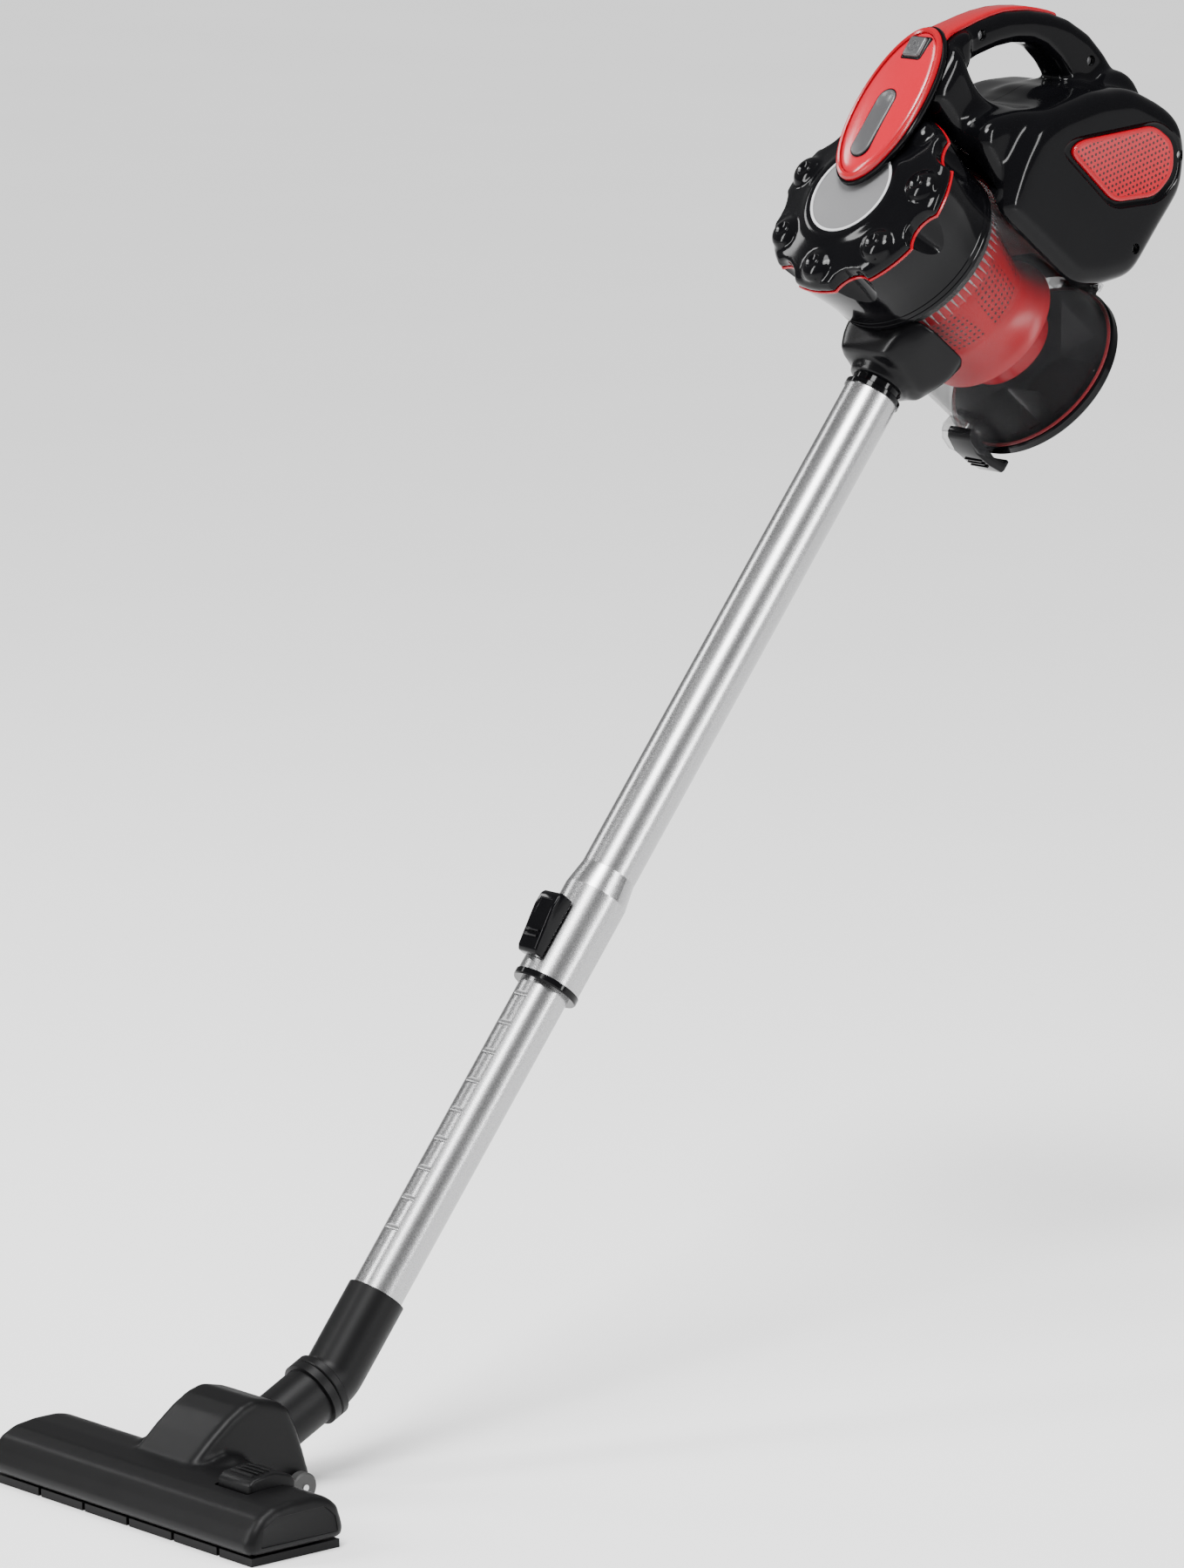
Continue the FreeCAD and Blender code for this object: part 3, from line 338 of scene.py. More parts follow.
wand_axis = Vector(joints["telescope"]["axis"])
hand_up = Vector((0, -wand_axis.z, wand_axis.y))
hinge_spot = Vector(joints["door_swing"]["pos_m"])
HINGE_BACK = 0.0645                 # the door's hinge pin behind the cyclone's axis
HINGE_DOWN = 0.107                  # and below the wand's axis
MOUTH_REACH = 0.09                  # from the wand's upper end to the cyclone's axis
hand_centre = hinge_spot - HINGE_BACK * wand_axis + HINGE_DOWN * hand_up
wand_mouth = hand_centre - MOUTH_REACH * wand_axis
across = Vector((1, 0, 0))
MILLIMETRES = Matrix.Scale(0.001, 4)
WAND_FRAME = (Matrix.Translation(wand_mouth)
              @ Matrix((across, -hand_up, wand_axis)).transposed().to_4x4() @ MILLIMETRES)

SLIDE_SIDE = [(-20.7, -417), (-27, -417), (-29, -414), (-33.2, -388), (-33, -380),
              (-31, -377), (-20.7, -377)]
slide_parts = [rounded(prism(SLIDE_SIDE, -8.6, 8.6), 1.3)]
for groove in range(3):
    low = -408 + groove * 3.2
    depth = -30.9 - groove * 0.45
    slide_parts.append(rounded(prism([(depth, low), (depth - 1.1, low + 0.8),
                                      (depth - 0.2, low + 1.8), (depth + 2, low + 1.8),
                                      (depth + 2, low)], -5.4, 5.4), 0.3))
lock_slide = joined(slide_parts)
carved(lock_slide, rounded(prism([(-40, -395), (-32.2, -395), (-32.8, -383), (-40, -383)],
                                 -5.4, 5.4), 0.5))
settled(coated(lock_slide, gloss_black), "thumb_slide", WAND_FRAME, "lock_slide",
        ["lock_slide"])

# ---- dust cup --------------------------------------------------------------------------
# A clear polycarbonate cup, turned in one piece with the cheeks that hold its latch and
# the ears of its hinge.

HAND_FRAME = (Matrix.Translation(hand_centre)
              @ Matrix((across, wand_axis, hand_up)).transposed().to_4x4() @ MILLIMETRES)
POLE = 0.01                         # a ring this small is merged into one point


def turned(profile, sides=96):
    """A lathe-turned piece whose wall runs through (radius, height) points."""
    bpy.ops.object.select_all(action="DESELECT")
    radius, height = profile[0]
    radius = max(radius, POLE)
    bpy.ops.mesh.primitive_circle_add(vertices=sides, radius=radius,
                                      location=(0, 0, height))
    piece = bpy.context.object
    bpy.ops.object.transform_apply(location=True)
    bpy.ops.object.mode_set(mode="EDIT")
    bpy.ops.mesh.select_all(action="SELECT")
    for next_radius, next_height in profile[1:]:
        next_radius = max(next_radius, POLE)
        bpy.ops.mesh.extrude_edges_move(
            TRANSFORM_OT_translate={"value": (0, 0, next_height - height)})
        grow = next_radius / radius
        bpy.ops.transform.resize(value=(grow, grow, 1), center_override=(0, 0, next_height))
        radius, height = next_radius, next_height
    bpy.ops.mesh.select_all(action="SELECT")
    bpy.ops.mesh.remove_doubles(threshold=0.012)
    bpy.ops.mesh.normals_make_consistent(inside=False)
    bpy.ops.object.mode_set(mode="OBJECT")
    return piece


def rod(radius, length, centre, turn=(0, 0, 0), sides=48):
    """A round cutter or pin about its centre."""
    bpy.ops.object.select_all(action="DESELECT")
    bpy.ops.mesh.primitive_cylinder_add(vertices=sides, radius=radius, depth=length,
                                        location=centre, rotation=turn)
    bpy.ops.object.transform_apply(location=True, rotation=True)
    return bpy.context.object


ALONG_Y = (math.radians(90), 0, 0)
ALONG_X = (0, math.radians(90), 0)
clear_wall, clear_surface, clear_spot = material(
    "clear_polycarbonate", IOR=1.45, Specular_IOR_Level=0.1)
haze = clear_spot.add("ShaderNodeTexNoise", {}, {"Vector": clear_spot, "Scale": 40.0,
                                                 "Detail": 3.0})
facing = clear_spot.add("ShaderNodeLayerWeight", {}, {"Blend": 0.35}, 1)
drive(clear_surface, "Base Color", mixed(haze, (0.02, 0.02, 0.021, 1), (0.04, 0.04, 0.042, 1)))
drive(clear_surface, "Roughness", haze * 0.04 + 0.02)
drive(clear_surface, "Alpha", facing * 0.55 + haze * 0.02 + 0.04)

cup_wall = turned([(55.3, -103), (60.2, -103), (60.4, -102.4), (60.2, -99.6), (58.6, -97),
                   (57.7, -94), (57.5, -90), (57.5, 28), (55.3, 28), (55.3, -103)], 128)
carved(cup_wall, rod(15.5, 20, (0, -58, 0), ALONG_Y))
CHEEK_SIDE = [(-56, -76), (-66, -75), (-71, -79), (-73, -88), (-71, -96), (-57, -98)]
cup_parts = [cup_wall]
for end in (-1, 1):
    cup_parts.append(rounded(prism(CHEEK_SIDE, end * 12.6 - 1.4, end * 12.6 + 1.4), 0.6))
    cup_parts.append(rounded(prism([(57, -97.5), (67.5, -97.5), (67.5, -110), (62, -110),
                                    (62, -103), (57, -103)], end * 15 - 2, end * 15 + 2), 0.5))
cup_parts.append(rounded(prism([(-56, -76), (-63, -74), (-68, -76), (-66, -78), (-62, -76.6),
                                (-56, -79)], -14, 14), 0.5))
settled(coated(joined(cup_parts), clear_wall), "clear_cup", HAND_FRAME, "canister",
        ["dust_cup"])

# ---- cup door and latch ----------------------------------------------------------------
# The black door closes the cup on a red rubber ring and swings on a steel pin.  Smoky
# fins stand on it, and a black sprung latch in front holds its rim.

red_rubber = plastic("red_rubber", (0.20, 0.002, 0.006, 1), (0.26, 0.003, 0.009, 1),
                     0.4, 0.001, 0.00004)
dressed(gloss_black, "cup_door")
seal = turned([(57.3, -104.15), (59.0, -104.15), (59.3, -103.7), (59.0, -103.25),
               (57.3, -103.25), (57.3, -104.15)])
settled(coated(seal, red_rubber), "seal_ring", HAND_FRAME, "door", ["door_seal"])
smoky, smoky_surface, smoky_spot = material("smoky_plastic", IOR=1.45)
smoke = smoky_spot.add("ShaderNodeTexNoise", {}, {"Vector": smoky_spot, "Scale": 60.0})
drive(smoky_surface, "Base Color", mixed(smoke, (0.02, 0.02, 0.022, 1), (0.05, 0.05, 0.05, 1)))
drive(smoky_surface, "Roughness", smoke * 0.1 + 0.15)
drive(smoky_surface, "Alpha", smoke * 0.1 + 0.7)
dressed(smoky, "dust_fins")

LATCH_SIDE = [(-62.2, -77), (-66, -77), (-69.5, -79.5), (-73, -90), (-72.6, -104),
              (-70.4, -116), (-68, -117), (-61.4, -117), (-61.4, -114), (-64, -112.8),
              (-66.3, -104), (-64.2, -92)]
latch_parts = [rounded(prism(LATCH_SIDE, -10.4, 10.4), 1.0)]
for rib in range(3):
    rib_up = -98 - rib * 3.4
    latch_parts.append(rounded(prism([(-71, rib_up), (-73.9, rib_up), (-73.6, rib_up - 1.6),
                                      (-71, rib_up - 1.6)], -7.5, 7.5), 0.4))
settled(coated(joined(latch_parts), gloss_black), "latch_lever", HAND_FRAME, "latch",
        ["door_latch"])

# ---- canister body and cap -------------------------------------------------------------
# Glossy black body above the clear cup, fluted where seven round lobes begin.  A red line
# and the lobed cap close it, with a grey disc in the cap's middle.

LOBES = 7
LOBE_STEP = 2 * math.pi / LOBES
FRONT = math.radians(-90)


def flutes():
    """Seven upright ellipsoids between the lobes, as one cutter."""
    cutters = []
    for lobe in range(LOBES):
        turn = FRONT + (lobe + 0.5) * LOBE_STEP
        bpy.ops.object.select_all(action="DESELECT")
        bpy.ops.mesh.primitive_uv_sphere_add(
            segments=48, ring_count=32, radius=1,
            location=(71.5 * math.cos(turn), 71.5 * math.sin(turn), 92),
            rotation=(0, 0, turn))
        bpy.context.object.scale = (14, 15.5, 50)
        bpy.ops.object.transform_apply(location=True, rotation=True, scale=True)
        cutters.append(bpy.context.object)
    return joined(cutters)


canister_body = turned([
    (54, 28.1), (58.6, 28.1), (58.6, 30.4), (58.1, 30.8), (58.6, 31.2), (58.6, 34.2),
    (58.1, 34.6), (58.6, 35), (58.8, 40), (59.6, 48), (61.2, 58), (63.2, 69), (64.6, 78),
    (54, 78), (54, 28.1)], 160)
carved(canister_body, flutes())
carved(canister_body, rod(13, 20, (0, 58, 52), ALONG_Y))
settled(coated(canister_body, gloss_black), "fluted_body", HAND_FRAME, "canister",
        ["canister_body"], 25)

red_gloss = plastic("red_gloss", (0.27, 0.0004, 0.006, 1), (0.33, 0.0008, 0.009, 1),
                    0.2, 0.003, 0.00002, Specular_IOR_Level=0.4)
trim = turned([(54, 78.05), (65.2, 78.05), (65.6, 78.8), (65.2, 79.6), (54, 79.6),
               (54, 78.05)], 160)
carved(trim, flutes())
settled(coated(trim, red_gloss), "cap_line", HAND_FRAME, "canister",
        ["cap_trim"])


def ball(radius, place, scale=(1, 1, 1)):
    """A round or flattened ball at a place."""
    bpy.ops.object.select_all(action="DESELECT")
    bpy.ops.mesh.primitive_uv_sphere_add(segments=48, ring_count=32, radius=radius,
                                         location=place)
    bpy.context.object.scale = scale
    bpy.ops.object.transform_apply(location=True, scale=True)
    return bpy.context.object


BUMP_RING = 51.5                    # the lobes' raised bumps lie on this radius
cap = turned([(0, 79.7), (65, 79.7), (65.3, 82), (64.6, 85.0), (62, 87.0), (57.5, 88.4),
              (50, 89.8), (40, 92.2), (34, 94.6), (31, 94.4), (0, 94.2)], 160)
carved(cap, flutes())
bump_spots = []
for lobe in range(LOBES):
    turn = FRONT + lobe * LOBE_STEP
    bump_spots.append((BUMP_RING * math.cos(turn), BUMP_RING * math.sin(turn)))
cap = moulded([cap] + [ball(11.5, (x, y, 88), (1, 1, 0.56)) for x, y in bump_spots], 1.1, 9)
carved(cap, turned([(0, 91.9), (30.6, 91.9), (30.6, 99), (0, 99)]))
for x, y in bump_spots:
    carved(cap, ball(8, (x, y, 99.9)))
settled(coated(cap, gloss_black), "lobed_cap", HAND_FRAME, "canister",
        ["canister_cap"], 35)

grey_satin = plastic("grey_satin", (0.11, 0.11, 0.113, 1), (0.15, 0.15, 0.153, 1),
                     0.25, 0.0008, 0.00002)
pale_grey = plastic("pale_grey", (0.45, 0.45, 0.46, 1), (0.55, 0.55, 0.56, 1),
                    0.22, 0.001, 0.00002)
disc = turned([(0, 92), (28.4, 92), (28.4, 94.0), (20, 94.25), (0, 94.3)])
settled(coated(disc, grey_satin), "cap_medallion", HAND_FRAME, "canister",
        ["cap_disc"])
disc_ring = turned([(28.5, 92), (30.2, 92), (30.2, 94.5), (29.7, 95), (29, 95), (28.5, 94.5),
                    (28.5, 92)])
settled(coated(disc_ring, pale_grey), "cap_medallion_ring", HAND_FRAME, "canister")

# ---- cyclone ---------------------------------------------------------------------------
# A perforated red cone with a flared skirt hangs in the cup over its foot, and clear
# spikes round its top break up the air.  Seal, filter and filter carrier sit behind it.
# The cone's holes are not cut: each is painted near-black, painted shade in place of an opening.

LEAN = math.atan2(wand_axis.z, wand_axis.y)


def in_hand_frame(spot):
    """The place on the part in millimetres of the hand frame, as three shades."""
    turned_spot = spot.add(
        "ShaderNodeMapping", {"vector_type": "TEXTURE"},
        {"Vector": spot, "Location": hand_centre, "Rotation": (LEAN, 0, 0),
         "Scale": (0.001, 0.001, 0.001)})
    split = "ShaderNodeSeparateXYZ"
    return [turned_spot.add(split, {}, {"Vector": turned_spot}, axis) for axis in range(3)]


def holes(along, up, along_pitch, up_pitch, radius, shifted=0.0):
    """1 inside a grid of round holes, every other row shifted by a part of a step."""
    row = up / up_pitch
    row = row.work("FLOOR")
    step = along / along_pitch + row.work("FLOORED_MODULO", 2.0) * shifted
    side = (step.work("FRACT") - 0.5) * along_pitch
    rise = (up / up_pitch - row - 0.5) * up_pitch
    return (side * side + rise * rise) < radius ** 2


cone_red, cone_surface, cone_spot = material("cone_red", IOR=1.5)
cone_x, cone_y, cone_z = in_hand_frame(cone_spot)
round_cone = cone_y.work("ARCTAN2", cone_x)
PANELS = 7
panel_share = (round_cone + math.pi) * (PANELS / (2 * math.pi))
panel_side = (panel_share.work("FRACT") - 0.5).work("ABSOLUTE")
in_panel = ((panel_side < 0.40 - (cone_z + 30) * 0.002) * (cone_z > -30.5) * (cone_z < 9))
CONE_MIDDLE_R = 43.0
CONE_HOLES_ROUND = 70
cone_pitch = 2 * math.pi * CONE_MIDDLE_R / CONE_HOLES_ROUND
# Mask of the cone's round holes; below, the holes get a near-black colour as painted shade, and
# a small dent.
cone_holes_painted_shade = holes(round_cone * CONE_MIDDLE_R, cone_z, cone_pitch, 4.8, 1.05) * in_panel
cone_drift = cone_spot.add("ShaderNodeTexNoise", {}, {"Vector": cone_spot, "Scale": 50.0})
plain_red = mixed(cone_drift, (0.33, 0.0005, 0.006, 1), (0.40, 0.001, 0.009, 1))
# Painted shade: inside each hole the red gives way to near-black, standing for the dark seen
# through an opening.
drive(cone_surface, "Base Color", mixed(cone_holes_painted_shade, plain_red, (0.012, 0.001, 0.001, 1)))
drive(cone_surface, "Roughness", cone_drift * 0.1 + 0.3)
drive(cone_surface, "Normal", cone_spot.add(
    "ShaderNodeBump", {"invert": True},
    {"Strength": 0.4, "Distance": 0.0004, "Height": cone_holes_painted_shade}))

cone = turned([
    (48.6, 24.7), (50, 24.7), (50, 12), (49, 8), (46.8, 4), (44.6, -6), (41.6, -20),
    (39.2, -31), (38.4, -34), (38.8, -38), (40.8, -44), (43.4, -49), (46, -53), (46.2, -56),
    (45, -56.4), (42, -51), (37.6, -43), (36.6, -34), (39.6, -20), (43, -4), (45.6, 5),
    (48.2, 12), (48.6, 24.7)], 128)
settled(coated(cone, cone_red), "perforated_cone", HAND_FRAME, "canister",
        ["cyclone_cone"], 50)
dressed(red_gloss, "cone_foot")

spikes = [turned([(50.9, 22), (53.1, 22), (53.1, 24.8), (50.9, 24.8), (50.9, 22)], 96)]
SPIKES = 60
for spike in range(SPIKES):
    turn = spike * 2 * math.pi / SPIKES
    bpy.ops.object.select_all(action="DESELECT")
    bpy.ops.mesh.primitive_cone_add(
        vertices=4, radius1=1.35, radius2=0.08, depth=13,
        location=(52 * math.cos(turn), 52 * math.sin(turn), 16),
        rotation=(math.pi, 0, -turn))
    bpy.ops.object.transform_apply(location=True, rotation=True)
    spikes.append(bpy.context.object)
frosted, frosted_surface, frosted_spot = material("frosted_clear", IOR=1.45)
frost = frosted_spot.add("ShaderNodeTexNoise", {}, {"Vector": frosted_spot, "Scale": 300.0})
drive(frosted_surface, "Base Color", mixed(frost, (0.25, 0.25, 0.26, 1), (0.4, 0.4, 0.41, 1)))
drive(frosted_surface, "Roughness", frost * 0.1 + 0.1)
drive(frosted_surface, "Alpha", frost * 0.2 + 0.45)
settled(coated(joined(spikes), frosted), "air_spikes", HAND_FRAME, "canister",
        ["vane_ring"])

paper, paper_surface, paper_spot = material("filter_paper")
fibre = paper_spot.add("ShaderNodeTexNoise", {}, {"Vector": paper_spot, "Scale": 900.0,
                                                  "Detail": 5.0})
drive(paper_surface, "Base Color", mixed(fibre, (0.62, 0.60, 0.54, 1), (0.80, 0.78, 0.72, 1)))
drive(paper_surface, "Roughness", fibre * 0.2 + 0.75)
dressed(paper, "pleated_filter")
dressed(satin_black, "filter_carrier")

# ---- inlet duct ------------------------------------------------------------------------
# A satin black elbow glued to the canister's front.  It widens from the wand's round
# mouth into a broad root against the cup.

bpy.ops.object.select_all(action="DESELECT")
DUCT_ROOT = [(-27, -46, -14), (-20, -46, -23), (8, -46, -27), (34, -46, -25),
             (43, -46, -14), (43, -46, 16), (38, -46, 25), (30, -46, 27.8),
             (-22, -46, 27.8), (-28, -46, 20)]
DUCT_SHOULDER = [(-22, -76, -10), (-15, -79, -20), (14, -79, -22.5), (25, -75, -13),
                 (34, -62, -20), (37, -58, 18), (27, -70, 14), (20, -73, 24),
                 (26, -60, 28), (-18, -73, 26), (-22, -75, 16), (-24, -60, 26)]
duct_points = DUCT_ROOT + DUCT_SHOULDER
bpy.ops.mesh.primitive_circle_add(vertices=len(duct_points), radius=1)
duct_hull = bpy.context.object
for vertex, point in zip(duct_hull.data.vertices, duct_points):
    vertex.co = point
bpy.ops.object.mode_set(mode="EDIT")
bpy.ops.mesh.select_all(action="SELECT")
bpy.ops.mesh.convex_hull()
bpy.ops.object.mode_set(mode="OBJECT")
duct = moulded([duct_hull, rod(19.6, 14, (0, -75, 0), ALONG_Y)], 1.3, 40)
carved(duct, turned([(0, -90), (57.6, -90), (57.6, 60), (0, 60)], 160))
carved(duct, rod(16.2, 30, (0, -78, 0), ALONG_Y, 96))
settled(coated(duct, satin_black), "inlet_hood", HAND_FRAME, "canister",
        ["inlet_duct"], 40)

# ---- motor housing and handle ----------------------------------------------------------
# Two glossy black clamshell halves screwed together: the motor's casing that wraps round
# the back of the cup, a looped handle and a flat tongue over the canister.

LOAF_SIDE = [(34, -58), (48, -76), (68, -95), (105, -95.5), (135, -97), (157, -84),
             (168, -69), (168, -52), (160, -20), (140, 4), (112, 27), (92, 36), (66, 34),
             (34, 26)]
SHOULDER_SIDE = [(52, 10), (62, 44), (66.6, 78), (70, 96), (113, 96), (101, 73),
                 (97.5, 60), (99.5, 46), (110, 28), (118, 12), (90, -10)]
BULGE_SIDE = [(46, 0), (52, 34), (60, 58), (70, 64), (84, 58), (98, 44), (108, 31),
              (124, 14), (130, -20), (90, -40)]
CREST_SIDE = [(104, 20), (112, 30), (119, 22), (132, 16), (143, 2), (159, -13),
              (150, -40), (110, 0)]
LIP_SIDE = [(30, -50), (30, -88), (38, -95.5), (96, -95.5), (96, -50)]
TAIL_SIDE = [(146, -30), (166, -22), (179, -30), (181, -42), (176, -56), (166, -74),
             (136, -64)]
FLARE_TOP = [(88, 74), (88, 96.4), (110, 95.6), (121, 90), (127, 84), (110, 72)]
HANDLE_SIDE = [(92, 97), (113, 95.5), (126, 87.5), (138, 79), (155, 64), (168, 47),
               (177, 31), (183, 15), (186, -5), (184, -24), (178, -48), (160, -44),
               (144, -16), (151, -6), (154.5, 8), (155, 22), (151.5, 34), (144, 45),
               (134, 55), (120, 65.5), (108, 72), (98, 78)]


def filleted(outline, radius, steps=6):
    """The outline with each corner replaced by a smooth arc."""
    smooth = []
    for index, corner in enumerate(outline):
        corner = Vector(corner)
        before = Vector(outline[index - 1]) - corner
        after = Vector(outline[(index + 1) % len(outline)]) - corner
        start = before.normalized() * min(radius, before.length * 0.48)
        end = after.normalized() * min(radius, after.length * 0.48)
        for step in range(steps + 1):
            share = step / steps
            smooth.append(tuple(corner + start * (1 - share) ** 2 + end * share ** 2))
    return smooth


def resized(outline, middle, share):
    """The same outline, larger or smaller about its middle."""
    return [(middle[0] + (back - middle[0]) * share, middle[1] + (up - middle[1]) * share)
            for back, up in outline]


casing = moulded([
    rounded(prism(LOAF_SIDE, -57.2, 57.2), 20, 5, 12),
    rounded(prism(LIP_SIDE, -28, 28), 8, 4, 12),
    rounded(prism(BULGE_SIDE, -48, 48), 18, 5, 12),
    rounded(prism(SHOULDER_SIDE, -27.5, 27.5), 9, 4, 12),
    rounded(prism(CREST_SIDE, -20, 20), 8, 4, 12),
    rounded(prism(TAIL_SIDE, -27, 27), 12, 4, 12),
], 1.9, 46)
PLATE_MIDDLE = 59.5                 # the oval's middle, back from the cup's axis
RELEASE_ENDS = (26, 60)             # the middles of the release button's round ends
POWER_BACK = 99                     # the power button's middle


def capsule(radius, low, high):
    """A bar on the release button's line with two round ends."""
    outline = []
    for end, first_turn in zip(RELEASE_ENDS, (180, 0)):
        for step in range(25):
            turn = math.radians(first_turn + step * 7.5)
            outline.append((end + radius * math.sin(turn), radius * math.cos(turn)))
    bar = prism(outline, low, high)
    bar.rotation_euler = (0, math.radians(-90), 0)
    pick(bar)
    bpy.ops.object.transform_apply(rotation=True)
    return bar


def tile(half, low, high, round_edge):
    """A square block with round corners at the power button's place."""
    bpy.ops.object.select_all(action="DESELECT")
    bpy.ops.mesh.primitive_cube_add(size=1, location=(0, POWER_BACK, (low + high) / 2))
    block = bpy.context.object
    block.scale = (2 * half, 2 * half, high - low)
    bpy.ops.object.transform_apply(location=True, scale=True)
    return rounded(block, round_edge, 4)


GRILLE = filleted([(95.5, 2.5), (106, 1), (151, -47.5), (152.5, -68.5), (137, -81),
                   (117, -77.5), (93, -49)], 8)
GRILLE_MIDDLE = (121.5, -40)
housing = moulded([
    casing,
    rounded(prism(FLARE_TOP, -18, 18), 7, 4, 12),
    rounded(prism(HANDLE_SIDE, -13.4, 13.4), 7, 4, 25),
], 1.6, 14)
tongue = turned([(0, 95.4), (52, 95.4), (57, 96.1), (58.6, 97.6), (58.6, 99), (58, 100.1),
                 (0, 100.1)], 128)
tongue.scale.x = 0.503
tongue.location.y = PLATE_MIDDLE
pick(tongue)
bpy.ops.object.transform_apply(location=True, scale=True)
finish_with(housing, "BOOLEAN", operation="UNION", solver="EXACT", object=tongue)
bpy.data.objects.remove(tongue)
carved(housing, turned([(0, -120), (62, -120), (62, 29.5), (66.4, 29.5), (66.4, 95.2),
                        (0, 95.2)], 160))
for low in (-70, 50.5):
    carved(housing, rounded(prism(GRILLE, low, low + 19.5), 1.5, 3))
for middle in (-60.5, 60.5):
    carved(housing, rounded(prism(resized(GRILLE, GRILLE_MIDDLE, 1.16),
                                  middle - 5.2, middle + 5.2), 2.4, 4))
carved(housing, capsule(7.7, 97.2, 112))
carved(housing, tile(7.5, 90, 112, 1))
SCREW_SPOTS = [(81.5, -83, 50), (150, -80, 50), (130.5, 73.5, 8), (172, -14, 8)]
for back, up, floor in SCREW_SPOTS:
    carved(housing, rod(3.4, 30, (floor + 15, back, up), ALONG_X, 32))
carved(housing, rod(7.9, 30, (0, 100, -95)))
carved(housing, rod(13.4, 12, (0, 62, 52), ALONG_Y))
carved(housing, prism([(-20, -130), (220, -130), (220, 130), (-20, 130)], -0.2, 0.2))
settled(coated(housing, gloss_black), "clamshell_housing", HAND_FRAME, "handheld",
        ["housing_right", "housing_left"], 38)
dressed(red_gloss, "saddle_liner")
dressed(plain_steel, "housing_screws")

# ---- handle strip, oval and buttons ----------------------------------------------------
# A red strip over the handle runs into the rim of the oval.  The oval's glossy plate holds
# the square power button and the long release button, both grey.

STRIP_TOP = [(84, 101.0), (92, 101.2), (100, 101.2), (106, 100.7), (111, 99.4), (116, 97.0),
             (120, 94.4), (126, 90.2), (132, 85.8), (139, 80.8), (147, 74.4), (156, 65.9),
             (163, 57.4), (169.6, 48.2), (174.6, 39.2), (178.6, 31), (181.4, 24)]
strip = prism(STRIP_TOP + [(back - 1.3, up - 3.2) for back, up in reversed(STRIP_TOP)], -10, 10)
for vertex in strip.data.vertices:
    along_handle = min(max((vertex.co.y - 118) / 62, 0), 1)
    under_oval = min(max((122 - vertex.co.y) / 28, 0), 1)
    vertex.co.x *= 1.08 - 0.45 * along_handle + 1.1 * under_oval ** 1.6
rounded(strip, 1.3, 3, 40)
carved(strip, tile(8.8, 90, 115, 2))
settled(coated(strip, red_gloss), "handle_inlay", HAND_FRAME, "handheld",
        ["handle_strip"])


def oval(profile, squeeze):
    """A turned piece squeezed on X into an oval about the plate's middle."""
    piece = turned(profile, 160)
    piece.scale.x = squeeze
    piece.location.y = PLATE_MIDDLE
    pick(piece)
    bpy.ops.object.transform_apply(location=True, scale=True)
    return piece


rim = oval([(51.8, 100.2), (56.5, 100.2), (56.5, 101.6), (55.4, 103.0), (53.6, 103.4),
            (52.2, 102.8), (51.8, 102.0), (51.8, 100.2)], 0.487)
carved(rim, tile(8.8, 95, 115, 2))
settled(coated(rim, red_gloss), "oval_rim", HAND_FRAME, "handheld",
        ["plate_bezel"])

plate_red = plastic("plate_red", (0.36, 0.0015, 0.012, 1), (0.42, 0.003, 0.018, 1),
                    0.2, 0.003, 0.00002)
plate = oval([(0, 100.2), (51.6, 100.2), (51.6, 101.8), (50.4, 102.6), (46, 103.3),
              (36, 104.2), (24, 104.8), (10, 105.1), (0, 105.15)], 0.474)
carved(plate, capsule(7.9, 98, 112))
carved(plate, tile(8.8, 95, 115, 2))
settled(coated(plate, plate_red), "oval_cover", HAND_FRAME, "handheld",
        ["oval_plate"], 40)

pill_ring = carved(rounded(capsule(7.8, 100.25, 104.9), 0.25), capsule(7.25, 99, 112))
power_ring = carved(tile(8.7, 100.25, 104.6, 1.6), tile(7.3, 99, 115, 1.4))
well_lining = joined([pill_ring, power_ring])
settled(coated(well_lining, satin_black), "button_well", HAND_FRAME, "handheld")

release = rounded(capsule(7.1, 100.9, 105.7), 0.9)
carved(release, ball(16, (0, 59, 120.4)))
button_grey = plastic("button_grey", (0.040, 0.040, 0.042, 1), (0.06, 0.06, 0.062, 1),
                      0.3, 0.0008, 0.00002)
settled(coated(release, button_grey), "release_bar", HAND_FRAME, "release_button",
        ["release_button"])

power = tile(7, 98.8, 106.6, 1.6)
bpy.ops.object.select_all(action="DESELECT")
bpy.ops.mesh.primitive_torus_add(major_radius=3.6, minor_radius=0.42, major_segments=48,
                                 minor_segments=12, location=(0, POWER_BACK, 106.65))
carved(power, bpy.context.object)
carved(power, rounded(prism([(96.9, 106.2), (96.9, 107.4), (101.1, 107.4), (101.1, 106.2)],
                            -0.4, 0.4), 0.1))
settled(coated(power, button_grey), "power_key", HAND_FRAME, "power_button",
        ["power_button"])
dressed(satin_black, "power_switch")

# ---- vents -----------------------------------------------------------------------------
# Red perforated grilles let the motor's air out on both sides through grey foam.
# The grilles' holes are not cut: each is painted near-black, painted shade in place of an
# opening.

vent_red, vent_surface, vent_spot = material("vent_red", IOR=1.5)
vent_y, vent_z = in_hand_frame(vent_spot)[1:]
# Mask of the grille's staggered round holes; below, the holes get a near-black colour as painted
# shade, and a small dent.
vent_holes_painted_shade = holes(vent_y * 0.81 - vent_z * 0.585, vent_y * 0.585 + vent_z * 0.81,
                   3.4, 3.4, 0.95, 0.5)
vent_drift = vent_spot.add("ShaderNodeTexNoise", {}, {"Vector": vent_spot, "Scale": 60.0})
vent_plain = mixed(vent_drift, (0.30, 0.0006, 0.007, 1), (0.36, 0.001, 0.010, 1))
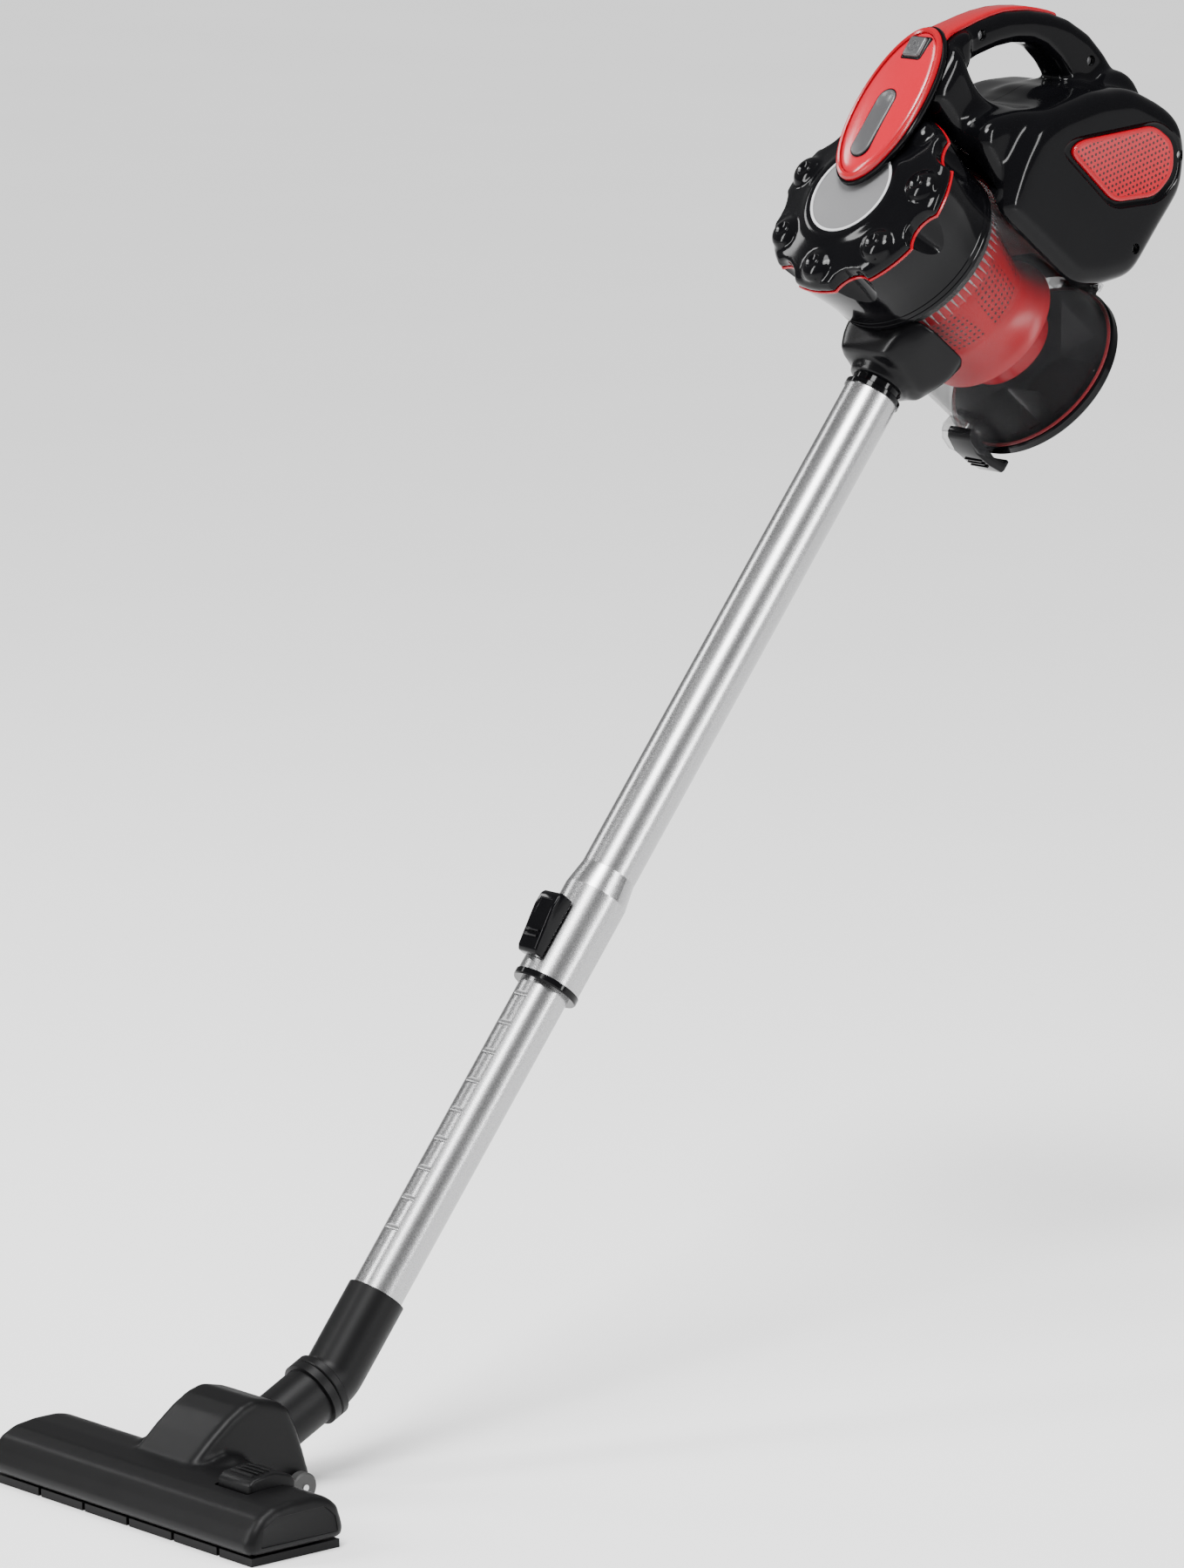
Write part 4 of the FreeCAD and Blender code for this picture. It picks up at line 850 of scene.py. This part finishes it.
# Painted shade: inside each hole the red gives way to near-black, standing for the dark seen
# through an opening.
drive(vent_surface, "Base Color", mixed(vent_holes_painted_shade, vent_plain, (0.010, 0.002, 0.002, 1)))
drive(vent_surface, "Roughness", vent_drift * 0.1 + 0.26)
drive(vent_surface, "Normal", vent_spot.add(
    "ShaderNodeBump", {"invert": True},
    {"Strength": 0.4, "Distance": 0.0004, "Height": vent_holes_painted_shade}))
for side_name, low, outward in (("right", -57.4, -1), ("left", 52.4, 1)):
    grille = prism(resized(GRILLE, GRILLE_MIDDLE, 0.985), low, low + 5)
    rounded(grille, 1.1, 3)
    coated(grille, red_gloss)
    grille.data.materials.append(vent_red)
    pick(grille)
    bpy.ops.object.mode_set(mode="EDIT")
    bpy.ops.mesh.select_all(action="DESELECT")
    bpy.ops.object.mode_set(mode="OBJECT")
    face = max(grille.data.polygons, key=lambda each: outward * each.normal.x * each.area)
    face.select = True
    grille.data.polygons.active = face.index
    bpy.ops.object.mode_set(mode="EDIT")
    bpy.ops.mesh.inset(thickness=2.0)
    bpy.context.object.active_material_index = 1
    bpy.ops.object.material_slot_assign()
    bpy.ops.transform.translate(value=(-outward * 0.5, 0, 0))
    bpy.ops.object.mode_set(mode="OBJECT")
    settled(grille, "vent_cover_" + side_name, HAND_FRAME, "handheld",
            ["vent_grille_" + side_name])

foam, foam_surface, foam_spot = material("exhaust_foam")
cells = foam_spot.add("ShaderNodeTexVoronoi", {}, {"Vector": foam_spot, "Scale": 700.0})
drive(foam_surface, "Base Color", mixed(cells, (0.02, 0.02, 0.02, 1), (0.12, 0.12, 0.12, 1)))
drive(foam_surface, "Roughness", cells * 0.2 + 0.75)
dressed(foam, "exhaust_foam")

# ---- motor -----------------------------------------------------------------------------
# The mains motor and its pressed alloy fan lie across the housing, held in rubber rings.

fan_alloy = metal("fan_alloy", (0.62, 0.63, 0.65, 1), (0.78, 0.79, 0.8, 1), 0.25, 0.001,
                  0.00002)
dressed(fan_alloy, "impeller")
dressed(satin_black, "fan_cover", "diffuser")
carbon, carbon_surface, carbon_spot = material("carbon")
carbon_grain = carbon_spot.add("ShaderNodeTexNoise", {}, {"Vector": carbon_spot,
                                                          "Scale": 1500.0})
drive(carbon_surface, "Base Color",
      mixed(carbon_grain, (0.02, 0.02, 0.02, 1), (0.06, 0.06, 0.06, 1)))
drive(carbon_surface, "Roughness", carbon_grain * 0.2 + 0.5)
dressed(carbon, "carbon_brushes")

# ---- studio ----------------------------------------------------------------------------
# A pale floor, soft boxes on both sides and above, a small one aimed for the oval plate's
# gloss, a wide sun, and a long lens from the front left.

bpy.ops.object.select_all(action="DESELECT")
bpy.ops.mesh.primitive_plane_add(size=80, location=(0, 0, 0))
floor = bpy.context.object
floor.name = "studio_floor"
paint, paint_surface, paint_spot = material("studio_paint")
mottle = paint_spot.add("ShaderNodeTexNoise", {}, {"Vector": paint_spot, "Scale": 3.0})
drive(paint_surface, "Base Color", mixed(mottle, (0.90, 0.90, 0.90, 1), (0.93, 0.93, 0.93, 1)))
drive(paint_surface, "Roughness", mottle * 0.1 + 0.8)
coated(floor, paint)

world = bpy.data.worlds.new("studio_light")
world.use_nodes = True
bpy.context.scene.world = world
world.node_tree.nodes["Background"].inputs["Color"].default_value = (1, 1, 1, 1)
world.node_tree.nodes["Background"].inputs["Strength"].default_value = 0.3

part_middle = Vector((0, 0.3276, 0.3932))


def soft_box(name, place, wide, high, power):
    """A rectangular lamp that faces the part's middle."""
    lamp = bpy.data.lights.new(name, "AREA")
    lamp.shape = "RECTANGLE"
    lamp.size = wide
    lamp.size_y = high
    lamp.energy = power
    holder = bpy.data.objects.new(name, lamp)
    bpy.context.scene.collection.objects.link(holder)
    holder.location = place
    holder.rotation_euler = (part_middle - Vector(place)).to_track_quat("-Z", "Y").to_euler()


soft_box("left_box", (-1.4, -2.4, 1.7), 0.45, 2.2, 100)
soft_box("right_box", (3.0, 1.2, 1.5), 0.4, 2.2, 80)
soft_box("top_box", (0.2, 0.0, 3.0), 0.7, 1.6, 70)
soft_box("plate_box", (-2.61, -0.23, 2.03), 0.6, 0.6, 16)

sun = bpy.data.lights.new("sky_panel", "SUN")
sun.energy = 4.2
sun.angle = math.radians(22)
sun_holder = bpy.data.objects.new("sky_panel", sun)
bpy.context.scene.collection.objects.link(sun_holder)
sun_holder.rotation_euler = (math.radians(24), math.radians(20), 0)

camera = bpy.data.cameras.new("long_lens")
camera.lens = 188.66
camera.sensor_width = 36
camera.clip_end = 100
camera_holder = bpy.data.objects.new("long_lens", camera)
bpy.context.scene.collection.objects.link(camera_holder)
camera_holder.location = (3.6595, -2.8769, 1.3231)
camera_holder.rotation_euler = (part_middle - camera_holder.location).to_track_quat(
    "-Z", "Y").to_euler()
bpy.context.scene.camera = camera_holder
